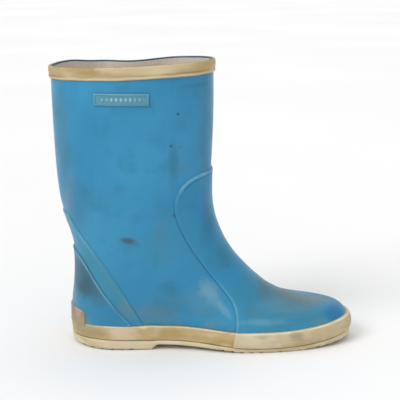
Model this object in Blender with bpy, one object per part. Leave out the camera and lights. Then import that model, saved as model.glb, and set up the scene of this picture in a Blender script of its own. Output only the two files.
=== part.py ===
"""A child's pull-on rubber boot for the right foot, laid up by hand from rubber sheet.

Frame: +X to the toe, -Y to the outer side of the foot, +Z up. The boot stands on z = 0
and the origin is the bottom centre of its bounding box. While it is modelled, x is
measured from the back of the heel; everything is centred at the end.
"""

import math

import bmesh
import bpy
from mathutils import Vector

# Driving sizes, in metres
SOLE_LENGTH = 0.225  # back of the heel to the tip of the toe strip
BALL_WIDTH = 0.0752  # the upper at the ball, under the foxing
ANKLE_HEIGHT = 0.100  # floor to the ankle, where the foot becomes the leg
LEG_HEIGHT = 0.1188  # ankle to the rim, at the back
SHAFT_DEPTH = 0.1248  # front to back at the rim
SHAFT_WIDTH = 0.084  # side to side at the rim
WALL = 0.0022  # rubber and its knitted lining
GAP = 0.0003  # room left between neighbouring pieces

VAMP_SHEET = 0.0010
STAY_SHEET = 0.0007
COUNTER_SHEET = 0.0009
HEEL_TAB_SHEET = 0.0008
FOXING_SHEET = 0.0023
TOE_STRIP_SHEET = 0.0008
BADGE_SHEET = 0.0010

COLLAR_HEIGHT = 0.0097
COLLAR_SHEET = 0.0012
COLLAR_GROOVE_DROP = 0.0064  # rim down to the groove in the collar strip
COLLAR_GROOVE_DEPTH = 0.0004

OUTSOLE_EDGE = 0.0031  # how far the outsole stands out from the upper, on average
OUTSOLE_FLARE = 0.0009  # how much more it stands out at the toe than at the heel
HEEL_LIFT = 0.0041  # step up from the heel to the arch
HEEL_BACK_LIFT = 0.0036  # the rounded back edge of the heel
TOE_SPRING = 0.0046
INSOLE_SHEET = 0.0030
INSOLE_EASE = 0.0012

TREAD_PITCH = 0.0075
TREAD_GROOVE = 0.0026
TREAD_DEPTH = 0.0012

BADGE_LENGTH = 0.041
BADGE_HEIGHT = 0.0094
BADGE_BORDER = 0.0011
BADGE_RECESS = 0.0004
BADGE_DROP = 0.0215  # rim at the back down to the middle of the badge
HEEL_TAB_HEIGHT = 0.0310
HEEL_TAB_REACH = 0.0149
DENT_DEPTH = 0.012  # the slack inner wall, pressed in below the rim
DENT_LENGTH = 0.024
DENT_FADE = 0.060

RING_POINTS = 44
RIM_ROW = 19.0
FOXING_ROW = 2.0
SHEET_ROW = 2.06  # where the laid sheets start, just above the foxing

# Sections of the foot, from the seat of the sole upwards. Each runs from a point at the
# back to a point at the front of the boot. The x are shares of SOLE_LENGTH, the z shares
# of ANKLE_HEIGHT, and the width a share of BALL_WIDTH. heel is the width there against
# the widest. seat and widest say where, along the section, the heel ends and the section
# is widest on the outer and inner side. nose is the roundness of the front end, waist the
# share of the waist that the section takes, and drape how far it follows the sole's line.
FOOT_COLUMNS = (
    "back_x", "back_z", "front_x", "front_z", "width", "heel", "seat",
    "widest_out", "widest_in", "nose", "waist", "drape",
)
FOOT_SECTIONS = (
    (0.0160, 0.077, 0.9780, 0.092, 1.000, 0.800, 0.165, 0.62, 0.70, 2.30, 1.00, 1.00),
    (0.0140, 0.128, 0.9830, 0.150, 1.004, 0.800, 0.165, 0.62, 0.70, 2.30, 1.00, 1.00),
    (0.0150, 0.178, 0.9735, 0.218, 0.993, 0.808, 0.165, 0.62, 0.70, 2.28, 0.95, 1.00),
    (0.0152, 0.240, 0.9510, 0.268, 0.977, 0.825, 0.160, 0.62, 0.69, 2.22, 0.85, 0.70),
    (0.0152, 0.300, 0.9130, 0.295, 0.957, 0.846, 0.160, 0.62, 0.67, 2.12, 0.70, 0.42),
    (0.0165, 0.360, 0.8400, 0.315, 0.935, 0.867, 0.170, 0.62, 0.65, 2.05, 0.50, 0.20),
    (0.0197, 0.420, 0.7640, 0.354, 0.915, 0.883, 0.190, 0.60, 0.62, 2.08, 0.33, 0.06),
    (0.0230, 0.490, 0.7040, 0.423, 0.900, 0.896, 0.215, 0.58, 0.59, 2.20, 0.20, 0.00),
    (0.0250, 0.560, 0.6540, 0.508, 0.892, 0.912, 0.245, 0.55, 0.56, 2.32, 0.10, 0.00),
    (0.0260, 0.630, 0.6140, 0.595, 0.892, 0.927, 0.280, 0.53, 0.53, 2.38, 0.00, 0.00),
    (0.0252, 0.710, 0.5765, 0.690, 0.900, 0.944, 0.320, 0.51, 0.51, 2.40, 0.00, 0.00),
    (0.0200, 0.800, 0.5445, 0.800, 0.915, 0.962, 0.370, 0.50, 0.50, 2.40, 0.00, 0.00),
    (0.0085, 0.900, 0.5195, 0.920, 0.937, 0.982, 0.430, 0.50, 0.50, 2.40, 0.00, 0.00),
    (-0.0070, 1.000, 0.5040, 1.030, 0.962, 1.000, 0.470, 0.50, 0.50, 2.40, 0.00, 0.00),
)
# Sections of the leg, from above the ankle to the rim: height over the ankle at the back
# and the rise from back to front as shares of LEG_HEIGHT, the middle as a share of
# SOLE_LENGTH, the depth as a share of SHAFT_DEPTH and the width as one of SHAFT_WIDTH.
LEG_COLUMNS = ("height", "rise", "middle", "depth", "width")
LEG_SECTIONS = (
    (0.110, 0.025, 0.2357, 0.938, 0.888),
    (0.255, 0.026, 0.2302, 0.957, 0.922),
    (0.430, 0.030, 0.2291, 0.976, 0.955),
    (0.615, 0.035, 0.2291, 0.991, 0.980),
    (0.810, 0.039, 0.2280, 0.998, 0.994),
    (1.000, 0.043, 0.2265, 1.000, 1.000),
)
# How far the seat of the boot dips below a straight line from heel to toe, as shares of
# SEAT_DIP, at every tenth of the length
SEAT_DIP = 0.0051
DIP_SHARE = (-0.15, -0.17, -0.06, -0.02, 0.08, 0.38, 0.82, 1.00, 0.94, 0.62, 0.00)
# Rise of the rim above its plane, in shares of RIM_WAVE, at degrees from the front
# round by the inner side
RIM_WAVE = 0.0016
WAVE_AT = (0, 55, 92, 118, 145, 180, 215, 270, 320, 360)
WAVE_SHARE = (0.0, -0.2, -1.0, -0.35, 0.75, 0.0, -0.25, -0.6, -0.2, 0.0)

WAIST_OUTER = 0.0046
WAIST_INNER = 0.0052
HEEL_ROUND = 2.0  # 2 is an ellipse, more is squarer
TOE_IN = 0.0050  # the tip of the toe lies this far to the inner side

# Side outlines of the sheets laid on the upper. x in shares of SOLE_LENGTH, z in shares
# of ANKLE_HEIGHT, as seen from the side.
VAMP_EDGE = (
    (0.580, 1.405), (0.510, 1.400), (0.468, 1.390), (0.435, 1.366), (0.405, 1.320),
    (0.384, 1.255), (0.371, 1.180), (0.372, 1.090), (0.384, 1.000), (0.406, 0.890),
    (0.437, 0.770), (0.474, 0.650), (0.512, 0.540), (0.542, 0.455), (0.565, 0.380),
    (0.577, 0.310), (0.580, 0.240), (0.577, 0.050),
)
STAY_EDGE = (
    (-0.060, 1.090), (0.000, 1.060), (0.025, 0.985), (0.050, 0.905), (0.090, 0.795),
    (0.140, 0.650), (0.190, 0.480), (0.235, 0.310), (0.275, 0.150),
)
COUNTER_EDGE = (
    (-0.060, 0.800), (0.010, 0.790), (0.038, 0.745), (0.070, 0.665), (0.105, 0.545),
    (0.142, 0.420), (0.185, 0.300), (0.229, 0.185), (0.252, 0.110),
)
TOE_STRIP_START = 0.574  # share of SOLE_LENGTH

# Heights of the outsole's underside: flat heel, breast, rising arch, flat ball, toe
HEEL_BACK_AT = 0.140
BREAST_AT = 0.285
ARCH_AT = 0.315
BALL_AT = 0.610
TOE_AT = 0.790
SOLE_STATIONS = (
    0.0, 0.006, 0.020, 0.045, 0.080, 0.125, 0.180, 0.235, 0.285, 0.315, 0.360, 0.410,
    0.460, 0.510, 0.560, 0.610, 0.655, 0.700, 0.745, 0.790, 0.830, 0.870, 0.905, 0.935,
    0.960, 0.980, 0.994, 1.0,
)


def clear_scene():
    for obj in list(bpy.data.objects):
        bpy.data.objects.remove(obj, do_unlink=True)


def smooth_step(share):
    share = min(max(share, 0.0), 1.0)
    return share * share * (3 - 2 * share)


def curve_through(values, place):
    """Catmull-Rom value of a list at a place counted in list steps."""
    last = len(values) - 1
    start = min(max(int(math.floor(place)), 0), last - 1)
    part = place - start
    before, a, b, after = (values[min(max(start + k, 0), last)] for k in (-1, 0, 1, 2))
    slope_a, slope_b = (b - before) / 2, (after - a) / 2
    if start == 0:
        slope_a = b - a
    if start == last - 1:
        slope_b = b - a
    p2, p3 = part * part, part**3
    return (
        a * (2 * p3 - 3 * p2 + 1) + slope_a * (p3 - 2 * p2 + part)
        + b * (3 * p2 - 2 * p3) + slope_b * (p3 - p2)
    )


def table_value(stations, values, at):
    """Smooth value at a station, for stations that are unevenly spaced."""
    at = min(max(at, stations[0]), stations[-1])
    for k in range(len(stations) - 1):
        if at <= stations[k + 1]:
            part = (at - stations[k]) / (stations[k + 1] - stations[k])
            return values[k] + (values[k + 1] - values[k]) * smooth_step(part)
    return values[-1]


def section_rows():
    """Both tables as rows of real sizes, with the same columns."""
    rows = []
    for numbers in FOOT_SECTIONS:
        row = dict(zip(FOOT_COLUMNS, numbers))
        row["back_x"] *= SOLE_LENGTH
        row["front_x"] *= SOLE_LENGTH
        row["back_z"] *= ANKLE_HEIGHT
        row["front_z"] *= ANKLE_HEIGHT
        row["width"] *= BALL_WIDTH
        rows.append(row)
    for numbers in LEG_SECTIONS:
        leg = dict(zip(LEG_COLUMNS, numbers))
        middle, depth = leg["middle"] * SOLE_LENGTH, leg["depth"] * SHAFT_DEPTH
        back_z = ANKLE_HEIGHT + leg["height"] * LEG_HEIGHT
        rows.append({
            "back_x": middle - depth / 2, "front_x": middle + depth / 2,
            "back_z": back_z, "front_z": back_z + leg["rise"] * LEG_HEIGHT,
            "width": leg["width"] * SHAFT_WIDTH, "heel": 1.0, "seat": 0.5,
            "widest_out": 0.5, "widest_in": 0.5, "nose": 2.4, "waist": 0.0, "drape": 0.0,
        })
    return rows


ROWS = section_rows()
COLUMN_VALUES = {name: [row[name] for row in ROWS] for name in FOOT_COLUMNS}


def section_at(row):
    return {name: curve_through(values, row) for name, values in COLUMN_VALUES.items()}


def half_width(section, along, inner):
    """Half width of a section at a share of the way from its back to its front."""
    widest = section["widest_in"] if inner else section["widest_out"]
    seat, heel = section["seat"], section["heel"]
    level, closing = 1.0, 1.0
    full = section["width"] / 2
    if along < widest:
        share = (along - seat) / (widest - seat + 1e-6)
        level = heel + (1 - heel) * smooth_step(share)
        if 0 < share < 1:
            waist = WAIST_INNER if inner else WAIST_OUTER
            dip = math.sin(math.pi * share) ** 2
            level -= section["waist"] * waist / full * dip
    if along < seat:
        closing = (1 - (1 - along / seat) ** HEEL_ROUND) ** (1 / HEEL_ROUND)
    elif along > widest:
        nose = section["nose"]
        closing = (1 - ((along - widest) / (1 - widest)) ** nose) ** (1 / nose)
    return full * level * closing


def seat_dip(along):
    return -SEAT_DIP * curve_through(DIP_SHARE, along * (len(DIP_SHARE) - 1))


def skin_point(row, angle):
    """Point of the upper's outer face. angle runs from the front by the inner side."""
    section = section_at(row)
    along = (1 + math.cos(angle)) / 2
    inner = math.sin(angle) > 0
    x = section["back_x"] + along * (section["front_x"] - section["back_x"])
    z = section["back_z"] + along * (section["front_z"] - section["back_z"])
    z += section["drape"] * seat_dip(along)
    side = half_width(section, min(max(along, 0.0), 1.0), inner)
    toe_share = smooth_step((along - 0.5) / 0.5) * max(0.0, 1 - row / 11)
    y = TOE_IN * toe_share + (side if inner else -side)
    rim_drop = ROWS[-1]["back_z"] - section["back_z"]
    near_rim = smooth_step(1 - rim_drop / DENT_FADE)
    wave = table_value(WAVE_AT, WAVE_SHARE, math.degrees(angle) % 360)
    z += RIM_WAVE * wave * near_rim
    if inner:
        middle = (section["back_x"] + section["front_x"]) / 2
        dent = math.exp(-(((x - middle) / DENT_LENGTH) ** 2))
        y -= DENT_DEPTH * dent * near_rim * side / (section["width"] / 2)
    return Vector((x, y, z))


def skin(row, angle, offset=0.0):
    """Point of the upper's outer face, moved out along its normal."""
    point = skin_point(row, angle)
    if offset == 0.0:
        return point
    step = 0.01
    up = skin_point(min(row + step, RIM_ROW), angle) - skin_point(max(row - step, 0), angle)
    round_it = skin_point(row, angle + step) - skin_point(row, angle - step)
    return point + round_it.cross(up).normalized() * offset


def ring_angles(points=RING_POINTS):
    return [2 * math.pi * k / points for k in range(points)]


def ring(row, offset):
    return [skin(row, angle, offset) for angle in ring_angles()]


def seat_height(x):
    """Top of the outsole, where the upper, the foxing and the insole stand."""
    section = ROWS[0]
    along = (x - section["back_x"]) / (section["front_x"] - section["back_x"])
    along = min(max(along, 0.0), 1.0)
    straight = section["back_z"] + along * (section["front_z"] - section["back_z"])
    return straight + seat_dip(along) - GAP


def level_ring(row, offset):
    """A ring moved straight out from the upper, at the height of the upper's own face."""
    points = []
    for angle in ring_angles():
        face = skin(row, angle)
        outwards = (skin(row, angle, 0.001) - face) * Vector((1, 1, 0))
        point = face + outwards.normalized() * offset
        if row == 0:
            point.z = seat_height(point.x) + GAP
        points.append(point)
    return points


def rim_row_below(drop):
    """The row that lies this far below the rim."""
    spacing = ROWS[-1]["back_z"] - ROWS[-2]["back_z"]
    return RIM_ROW - drop / spacing


def new_object(name, bm, material=None, helper=False):
    bmesh.ops.recalc_face_normals(bm, faces=bm.faces)
    mesh = bpy.data.meshes.new(name)
    bm.to_mesh(mesh)
    bm.free()
    obj = bpy.data.objects.new(name, mesh)
    bpy.context.scene.collection.objects.link(obj)
    if material:
        mesh.materials.append(material)
    if helper:
        obj.hide_render = True
        obj.display_type = "WIRE"
    else:
        mesh.shade_smooth()
        mesh.set_sharp_from_angle(angle=math.radians(35))
    return obj


def bridge_rings(bm, rings, closed=True):
    """Lofts rings of points into a skin. A closed one comes back to its first ring."""
    loops = [[bm.verts.new(point) for point in points] for points in rings]
    pairs = list(zip(loops, loops[1:] + loops[:1])) if closed else list(zip(loops, loops[1:]))
    for one, other in pairs:
        rising = one[0].co.z < other[0].co.z
        for k in range(len(one)):
            after = (k + 1) % len(one)
            a, b, c, d = one[k], one[after], other[after], other[k]
            # the same diagonal on every skin, so that neighbours never cross
            split = ((a, b, c), (a, c, d)) if rising else ((a, b, d), (b, c, d))
            for corners in split:
                bm.faces.new(corners)
    return loops


def shell(name, rows, inside, outside, material=None, helper=False):
    """A closed wall round the boot between two offsets of the upper's outer face."""
    bm = bmesh.new()
    rings = [ring(row, inside) for row in rows] + [ring(row, outside) for row in reversed(rows)]
    if rows[0] == 0:
        rings[0], rings[-1] = level_ring(0.0, inside), level_ring(0.0, outside)
    bridge_rings(bm, rings)
    return new_object(name, bm, material, helper)


def prism(name, outline, side_from, side_to):
    """A cutter: a side outline, points of x and z, drawn out along y."""
    bm = bmesh.new()
    face = bm.faces.new([bm.verts.new((x, side_from, z)) for x, z in outline])
    drawn = bmesh.ops.extrude_face_region(bm, geom=[face])
    moved = [v for v in drawn["geom"] if isinstance(v, bmesh.types.BMVert)]
    bmesh.ops.translate(bm, verts=moved, vec=(0, side_to - side_from, 0))
    return new_object(name, bm, helper=True)


def cut(obj, cutter, operation):
    modifier = obj.modifiers.new(operation.title(), "BOOLEAN")
    modifier.operation = operation
    modifier.solver = "EXACT"
    modifier.object = cutter


def rubber(name, colour, roughness):
    material = bpy.data.materials.new(name)
    material.use_nodes = True
    shader = material.node_tree.nodes["Principled BSDF"]
    shader.inputs["Base Color"].default_value = (*colour, 1)
    shader.inputs["Roughness"].default_value = roughness
    shader.inputs["Metallic"].default_value = 0.0
    material.diffuse_color = (*colour, 1)
    return material


def rows_between(low, high):
    """The lattice rows that all sheets share, from one row to another."""
    lattice = [0, 1, SHEET_ROW, 2.5, 3, 3.5, 4, 5, 5.5] + list(range(6, 15))
    lattice += [16, 17, 17.5, 18, 18.35, rim_row_below(COLLAR_HEIGHT), RIM_ROW]
    return [low] + [row for row in lattice if low + 0.05 < row < high - 0.05] + [high]


def upper(material):
    """Leg, foot and lining as one hollow wall, open at the rim and under the foot."""
    return shell("upper", rows_between(0, RIM_ROW), -WALL, 0.0, material)


def outline_points(edge):
    return [(x * SOLE_LENGTH, z * ANKLE_HEIGHT) for x, z in edge]


def laid_sheet(name, edge, inside, thickness, reach, material):
    """A sheet laid on the upper above the foxing, as far as its side outline."""
    span = max(BALL_WIDTH, SHAFT_WIDTH)
    low = ROWS[0]["back_z"] - SEAT_DIP * 2
    points = outline_points(edge)
    points += [(points[-1][0], low), (reach, low), (reach, points[0][1])]
    outline = prism(name + "_outline", points, -span, span)
    top = max(z for _, z in points) + 0.010
    highest = next(k for k, row in enumerate(ROWS) if row["back_z"] > top)
    sheet = shell(
        name, rows_between(SHEET_ROW, float(highest)), inside, inside + thickness, material
    )
    cut(sheet, outline, "INTERSECT")
    return sheet


def foxing_rings(inside, thickness, rounding):
    """Profile of a strip round the sole's edge, from its inner foot round its outer face."""
    outside = inside + thickness
    fit_ring = ring if inside < 2 * GAP else level_ring
    return [
        level_ring(0.0, inside), level_ring(1.0, inside), fit_ring(FOXING_ROW, inside),
        level_ring(FOXING_ROW, outside - rounding), level_ring(FOXING_ROW - 0.12, outside),
        level_ring(1.0, outside), level_ring(0.12, outside), level_ring(0.0, outside - rounding),
    ]


def foxing(material):
    bm = bmesh.new()
    bridge_rings(bm, foxing_rings(GAP, FOXING_SHEET, 0.0006))
    return new_object("foxing", bm, material)


def toe_strip(material):
    """A second strip over the foxing, round the toe from ball to ball."""
    bm = bmesh.new()
    bridge_rings(bm, foxing_rings(FOXING_SHEET + 2 * GAP, TOE_STRIP_SHEET, 0.0004))
    strip = new_object("toe_strip", bm, material)
    start = TOE_STRIP_START * SOLE_LENGTH
    end, top = 1.2 * SOLE_LENGTH, ANKLE_HEIGHT
    lean = 0.0020
    outline = [(start, -top), (end, -top), (end, top), (start + 2 * lean, top), (start + lean, 0.0)]
    keep = prism("toe_strip_outline", outline, -BALL_WIDTH, BALL_WIDTH)
    cut(strip, keep, "INTERSECT")
    return strip


def collar_strip(material):
    """The strip round the rim, with a groove above its lower lip."""
    face, groove = GAP + COLLAR_SHEET, GAP + COLLAR_SHEET - COLLAR_GROOVE_DEPTH
    lip = 0.0006
    profile = (
        (0.0, GAP), (0.0, face - lip), (lip, face), (COLLAR_GROOVE_DROP - lip, face),
        (COLLAR_GROOVE_DROP, groove), (COLLAR_GROOVE_DROP + lip, face - lip / 3),
        (COLLAR_HEIGHT - lip, face - lip / 3), (COLLAR_HEIGHT, face - lip), (COLLAR_HEIGHT, GAP),
    )
    bm = bmesh.new()
    bridge_rings(bm, [ring(rim_row_below(drop), offset) for drop, offset in profile])
    return new_object("collar_strip", bm, material)


def heel_tab(material):
    """A scuff patch over the counter at the back of the heel."""
    inside = STAY_SHEET + COUNTER_SHEET + 3 * GAP
    edge = (
        (HEEL_TAB_REACH / SOLE_LENGTH, HEEL_TAB_HEIGHT / ANKLE_HEIGHT),
        (HEEL_TAB_REACH / SOLE_LENGTH, 0.0),
    )
    return laid_sheet("heel_tab", edge, inside, HEEL_TAB_SHEET, -0.2 * SOLE_LENGTH, material)


def badge(material):
    """A blank moulded plate on the outer side, with a raised border."""
    middle_x = 0.2049 * SOLE_LENGTH
    middle_z = ANKLE_HEIGHT + LEG_HEIGHT - BADGE_DROP

    def plate_outline(border):
        right, top = BADGE_LENGTH / 2 - border, BADGE_HEIGHT / 2 - border
        return [
            (middle_x - right, middle_z - top), (middle_x + right, middle_z - top),
            (middle_x + right, middle_z + top), (middle_x - right, middle_z + top),
        ]

    rows = rows_between(RIM_ROW - 3, RIM_ROW)
    plate = shell("badge", rows, GAP, GAP + BADGE_SHEET, material)
    cut(plate, prism("badge_outline", plate_outline(0.0), -SHAFT_WIDTH, 0.0), "INTERSECT")
    field = shell("badge_field", rows, GAP + BADGE_SHEET - BADGE_RECESS, 2 * BADGE_SHEET, helper=True)
    cut(field, prism("badge_field_outline", plate_outline(BADGE_BORDER), -SHAFT_WIDTH, 0.0), "INTERSECT")
    cut(plate, field, "DIFFERENCE")
    return plate


def underside(x):
    """Height of the outsole's underside."""
    share = min(max(x / SOLE_LENGTH, 0.0), 1.0)
    if share < HEEL_BACK_AT:
        return HEEL_BACK_LIFT * (1 - share / HEEL_BACK_AT) ** 2
    if share < BREAST_AT:
        return 0.0
    if share < ARCH_AT:
        return HEEL_LIFT * smooth_step((share - BREAST_AT) / (ARCH_AT - BREAST_AT))
    if share < BALL_AT:
        return HEEL_LIFT * (1 - ((share - ARCH_AT) / (BALL_AT - ARCH_AT)) ** 1.8)
    if share < TOE_AT:
        return 0.0
    return TOE_SPRING * ((share - TOE_AT) / (1 - TOE_AT)) ** 1.6


def sole_angle(share):
    return math.acos(min(max(2 * share - 1, -1.0), 1.0))


def sole_margin(share, inset=0.0):
    return OUTSOLE_EDGE + OUTSOLE_FLARE * (share - 0.5) - inset


def ladder(bm, edge_points):
    """Fills a level outline with bars from side to side. The outline starts at the heel."""
    half = len(edge_points) // 2
    bm.faces.new((edge_points[0], edge_points[1], edge_points[-1]))
    for k in range(1, half - 1):
        bm.faces.new((edge_points[k], edge_points[k + 1], edge_points[-k - 1], edge_points[-k]))
    bm.faces.new((edge_points[half - 1], edge_points[half], edge_points[half + 1]))


def outline_ring(margin_of, height_of, row=0.0):
    """Plan outline of the sole: heel, outer side, toe, inner side."""
    stations = list(SOLE_STATIONS)
    outer = [(share, -sole_angle(share)) for share in stations]
    inner = [(share, sole_angle(share)) for share in reversed(stations[1:-1])]
    points = []
    for share, angle in outer + inner:
        edge = skin(row, angle, margin_of(share))
        points.append(Vector((edge.x, edge.y, height_of(edge.x))))
    return points


def outsole(material):
    """One moulded sole: heel, arch, ball and toe spring, with cross grooves."""
    rounding = 0.0007
    bm = bmesh.new()
    rings = [
        outline_ring(lambda share: sole_margin(share, 3 * rounding), seat_height),
        outline_ring(lambda share: sole_margin(share, rounding), seat_height),
        outline_ring(sole_margin, lambda x: seat_height(x) - rounding),
        outline_ring(sole_margin, lambda x: underside(x) + rounding),
        outline_ring(lambda share: sole_margin(share, rounding), underside),
    ]
    loops = bridge_rings(bm, rings, closed=False)
    ladder(bm, loops[0])
    ladder(bm, loops[-1])
    bmesh.ops.triangulate(bm, faces=bm.faces)
    sole = new_object("outsole", bm, material)
    cut(sole, tread_cutter(), "DIFFERENCE")
    return sole


def tread_cutter():
    """Cross grooves under the heel and under the forefoot, right out to the edges."""
    bm = bmesh.new()
    reach = BALL_WIDTH * 1.6
    for first, last in ((0.055, BREAST_AT - 0.030), (BALL_AT - 0.075, 0.985)):
        x, end = first * SOLE_LENGTH, last * SOLE_LENGTH
        while x < end:
            base = underside(x)
            made = bmesh.ops.create_cube(bm, size=1.0)["verts"]
            bmesh.ops.scale(bm, verts=made, vec=(TREAD_GROOVE, reach, 2 * TREAD_DEPTH))
            bmesh.ops.translate(bm, verts=made, vec=(x, 0.0, base))
            x += TREAD_PITCH
    return new_object("tread_grooves", bm, helper=True)


def insole(material):
    """A flat sock on the outsole, inside the wall."""
    margin = -(WALL + INSOLE_EASE)
    rounding = 0.0006
    bm = bmesh.new()
    top = GAP + INSOLE_SHEET
    rings = [
        outline_ring(lambda _: margin - rounding, lambda x: seat_height(x) + top),
        outline_ring(lambda _: margin, lambda x: seat_height(x) + top - rounding),
        outline_ring(lambda _: margin, lambda x: seat_height(x) + GAP),
    ]
    loops = bridge_rings(bm, rings, closed=False)
    ladder(bm, loops[0])
    ladder(bm, loops[-1])
    bmesh.ops.triangulate(bm, faces=bm.faces)
    return new_object("insole", bm, material)


def centre_on_floor():
    """Moves everything so that the origin is the bottom centre of the bounding box."""
    bpy.context.view_layer.update()
    graph = bpy.context.evaluated_depsgraph_get()
    corners = []
    for obj in bpy.context.scene.objects:
        if not obj.hide_render:
            evaluated = obj.evaluated_get(graph)
            corners += [evaluated.matrix_world @ Vector(c) for c in evaluated.bound_box]
    low = [min(corner[k] for corner in corners) for k in range(3)]
    high = [max(corner[k] for corner in corners) for k in range(3)]
    shift = Vector((-(low[0] + high[0]) / 2, -(low[1] + high[1]) / 2, -low[2]))
    for obj in bpy.context.scene.objects:
        obj.location = shift


def main():
    clear_scene()
    blue = rubber("blue_rubber", (0.055, 0.270, 0.480), 0.45)
    cream = rubber("cream_rubber", (0.560, 0.450, 0.290), 0.60)
    taupe = rubber("scuff_rubber", (0.220, 0.180, 0.150), 0.70)
    sock = rubber("insole_foam", (0.500, 0.460, 0.400), 0.90)
    upper(blue)
    laid_sheet("vamp", VAMP_EDGE, GAP, VAMP_SHEET, 1.2 * SOLE_LENGTH, blue)
    laid_sheet("ankle_stay", STAY_EDGE, GAP, STAY_SHEET, -0.2 * SOLE_LENGTH, blue)
    laid_sheet(
        "heel_counter", COUNTER_EDGE, STAY_SHEET + 2 * GAP, COUNTER_SHEET, -0.2 * SOLE_LENGTH, blue
    )
    heel_tab(taupe)
    foxing(cream)
    toe_strip(cream)
    collar_strip(cream)
    badge(blue)
    outsole(cream)
    insole(sock)
    centre_on_floor()


main()
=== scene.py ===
"""A child's pull-on rubber boot for the right foot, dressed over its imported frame.

The boot is laid up by hand from calendered rubber sheet on a last and vulcanised: a lined
leg and foot, a vamp sheet, two sheets round the heel, a scuff patch, a foxing strip, a
second strip round the toe, a collar strip, a blank badge and a moulded sole.
"""

from __future__ import annotations

import logging
import math
from collections.abc import Callable, Sequence
from dataclasses import dataclass, field
from enum import Enum

import bmesh
import bpy
import numpy as np
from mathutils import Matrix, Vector
from mathutils.kdtree import KDTree

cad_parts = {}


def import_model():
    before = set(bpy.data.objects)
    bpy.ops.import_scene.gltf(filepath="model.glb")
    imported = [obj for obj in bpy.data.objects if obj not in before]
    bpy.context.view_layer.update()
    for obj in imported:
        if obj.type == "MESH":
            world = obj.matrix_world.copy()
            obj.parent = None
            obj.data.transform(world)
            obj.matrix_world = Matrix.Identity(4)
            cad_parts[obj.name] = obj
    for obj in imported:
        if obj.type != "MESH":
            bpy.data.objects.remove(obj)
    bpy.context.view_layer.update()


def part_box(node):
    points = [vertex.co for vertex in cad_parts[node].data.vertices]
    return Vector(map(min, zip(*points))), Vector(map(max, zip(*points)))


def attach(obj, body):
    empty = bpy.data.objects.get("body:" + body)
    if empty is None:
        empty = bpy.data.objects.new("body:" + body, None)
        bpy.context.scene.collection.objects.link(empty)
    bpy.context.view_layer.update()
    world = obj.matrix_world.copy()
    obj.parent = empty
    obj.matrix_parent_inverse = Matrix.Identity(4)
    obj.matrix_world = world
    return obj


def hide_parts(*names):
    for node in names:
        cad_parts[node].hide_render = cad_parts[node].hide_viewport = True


log = logging.getLogger("rubber_boot")

MM = 0.001
BODY = "root"
GAP = 0.3 * MM
WALL = 2.2 * MM
SOLE_LENGTH = 225 * MM
ANKLE_HEIGHT = 100 * MM
LEG_HEIGHT = 118.8 * MM
BALL_WIDTH = 75.2 * MM
SHAFT_DEPTH = 124.8 * MM
SHAFT_WIDTH = 84 * MM
RIM_ROW = 19.0  # the last section of the form
INSIDE_HEEL = Vector((-30 * MM, 0, 50 * MM))
INSIDE_FOOT = Vector((30 * MM, 0, 15 * MM))
INSIDE_LEG = Vector((-60 * MM, 0, 197 * MM))
SHEET_ROW = 2.0  # the foxing ends in this row
TUCK_ROW = 1.7  # the laid sheets start in this row, tucked in behind the foxing


def smooth_step(share: np.ndarray | float) -> np.ndarray:
    """Eases a share from 0 to 1."""
    share = np.clip(share, 0.0, 1.0)
    return share * share * (3 - 2 * share)


def spline(values: Sequence[float], place: np.ndarray) -> np.ndarray:
    """Catmull-Rom values of evenly spaced numbers.

    Args:
        values: The numbers, one a step.
        place: Where to read them, in steps.

    Returns:
        The smooth values there.
    """
    known = np.asarray(values, float)
    last = len(known) - 1
    start = np.clip(np.floor(place).astype(int), 0, last - 1)
    part = place - start
    a, b = known[start], known[start + 1]
    slope_a = np.where(start == 0, b - a, (b - known[np.maximum(start - 1, 0)]) / 2)
    slope_b = np.where(start == last - 1, b - a, (known[np.minimum(start + 2, last)] - a) / 2)
    p2, p3 = part**2, part**3
    return (
        a * (2 * p3 - 3 * p2 + 1) + slope_a * (p3 - 2 * p2 + part)
        + b * (3 * p2 - 2 * p3) + slope_b * (p3 - p2)
    )


def bell(value: np.ndarray, middle: float, width: float) -> np.ndarray:
    """A soft hump, 1 at the middle."""
    return np.exp(-(((value - middle) / width) ** 2))


def rounded(far: np.ndarray, radius: float) -> np.ndarray:
    """Share of the full thickness at a distance from a rounded edge."""
    return np.sqrt(np.clip(1 - (1 - np.clip(far / radius, 0, 1)) ** 2, 0, 1))


def crowded(across: np.ndarray, power: float) -> np.ndarray:
    """Spreads shares over -1 to 1, closer together at both ends.

    Args:
        across: The shares, from 0 to 1.
        power: How much closer.

    Returns:
        The spread places.
    """
    share = (across - 0.5) * 2
    return np.sign(share) * (1 - (1 - np.abs(share)) ** power)


def traced(
    profile: Sequence[tuple[float, float]], share: np.ndarray,
) -> tuple[np.ndarray, np.ndarray]:
    """Follows a profile from corner to corner.

    Args:
        profile: Its corners.
        share: Shares of the way, with as much for each side.

    Returns:
        Both measures there.
    """
    corners = np.asarray(profile)
    steps = np.linspace(0, 1, len(corners))
    return np.interp(share, steps, corners[:, 0]), np.interp(share, steps, corners[:, 1])


class Side(Enum):
    """A side of the boot, with the sign of its Y and of a turn towards it."""

    INNER = 1
    OUTER = -1


@dataclass(frozen=True)
class Crease:
    """A soft trough, or a ridge where its depth is negative, placed in the side view."""

    start: tuple[float, float]
    end: tuple[float, float]
    depth: float
    width: float
    side: Side = Side.OUTER
    blend: float = 16 * MM

    def offset(self, points: np.ndarray) -> np.ndarray:
        """How far the skin moves out, as the trough fades to both ends.

        Args:
            points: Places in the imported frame.

        Returns:
            The move at each of them.
        """
        line = np.subtract(self.end, self.start)
        away = points[..., (0, 2)] - np.asarray(self.start)
        along = np.clip(away @ line / (line @ line), -0.5, 1.5)
        far = np.linalg.norm(away - along[..., None] * line, axis=-1)
        near = smooth_step(0.5 + self.side.value * points[..., 1] / self.blend)
        fade = np.sin(math.pi * np.clip(along, 0, 1)) ** 0.7
        return -self.depth * bell(far, 0.0, self.width) * fade * near


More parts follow.
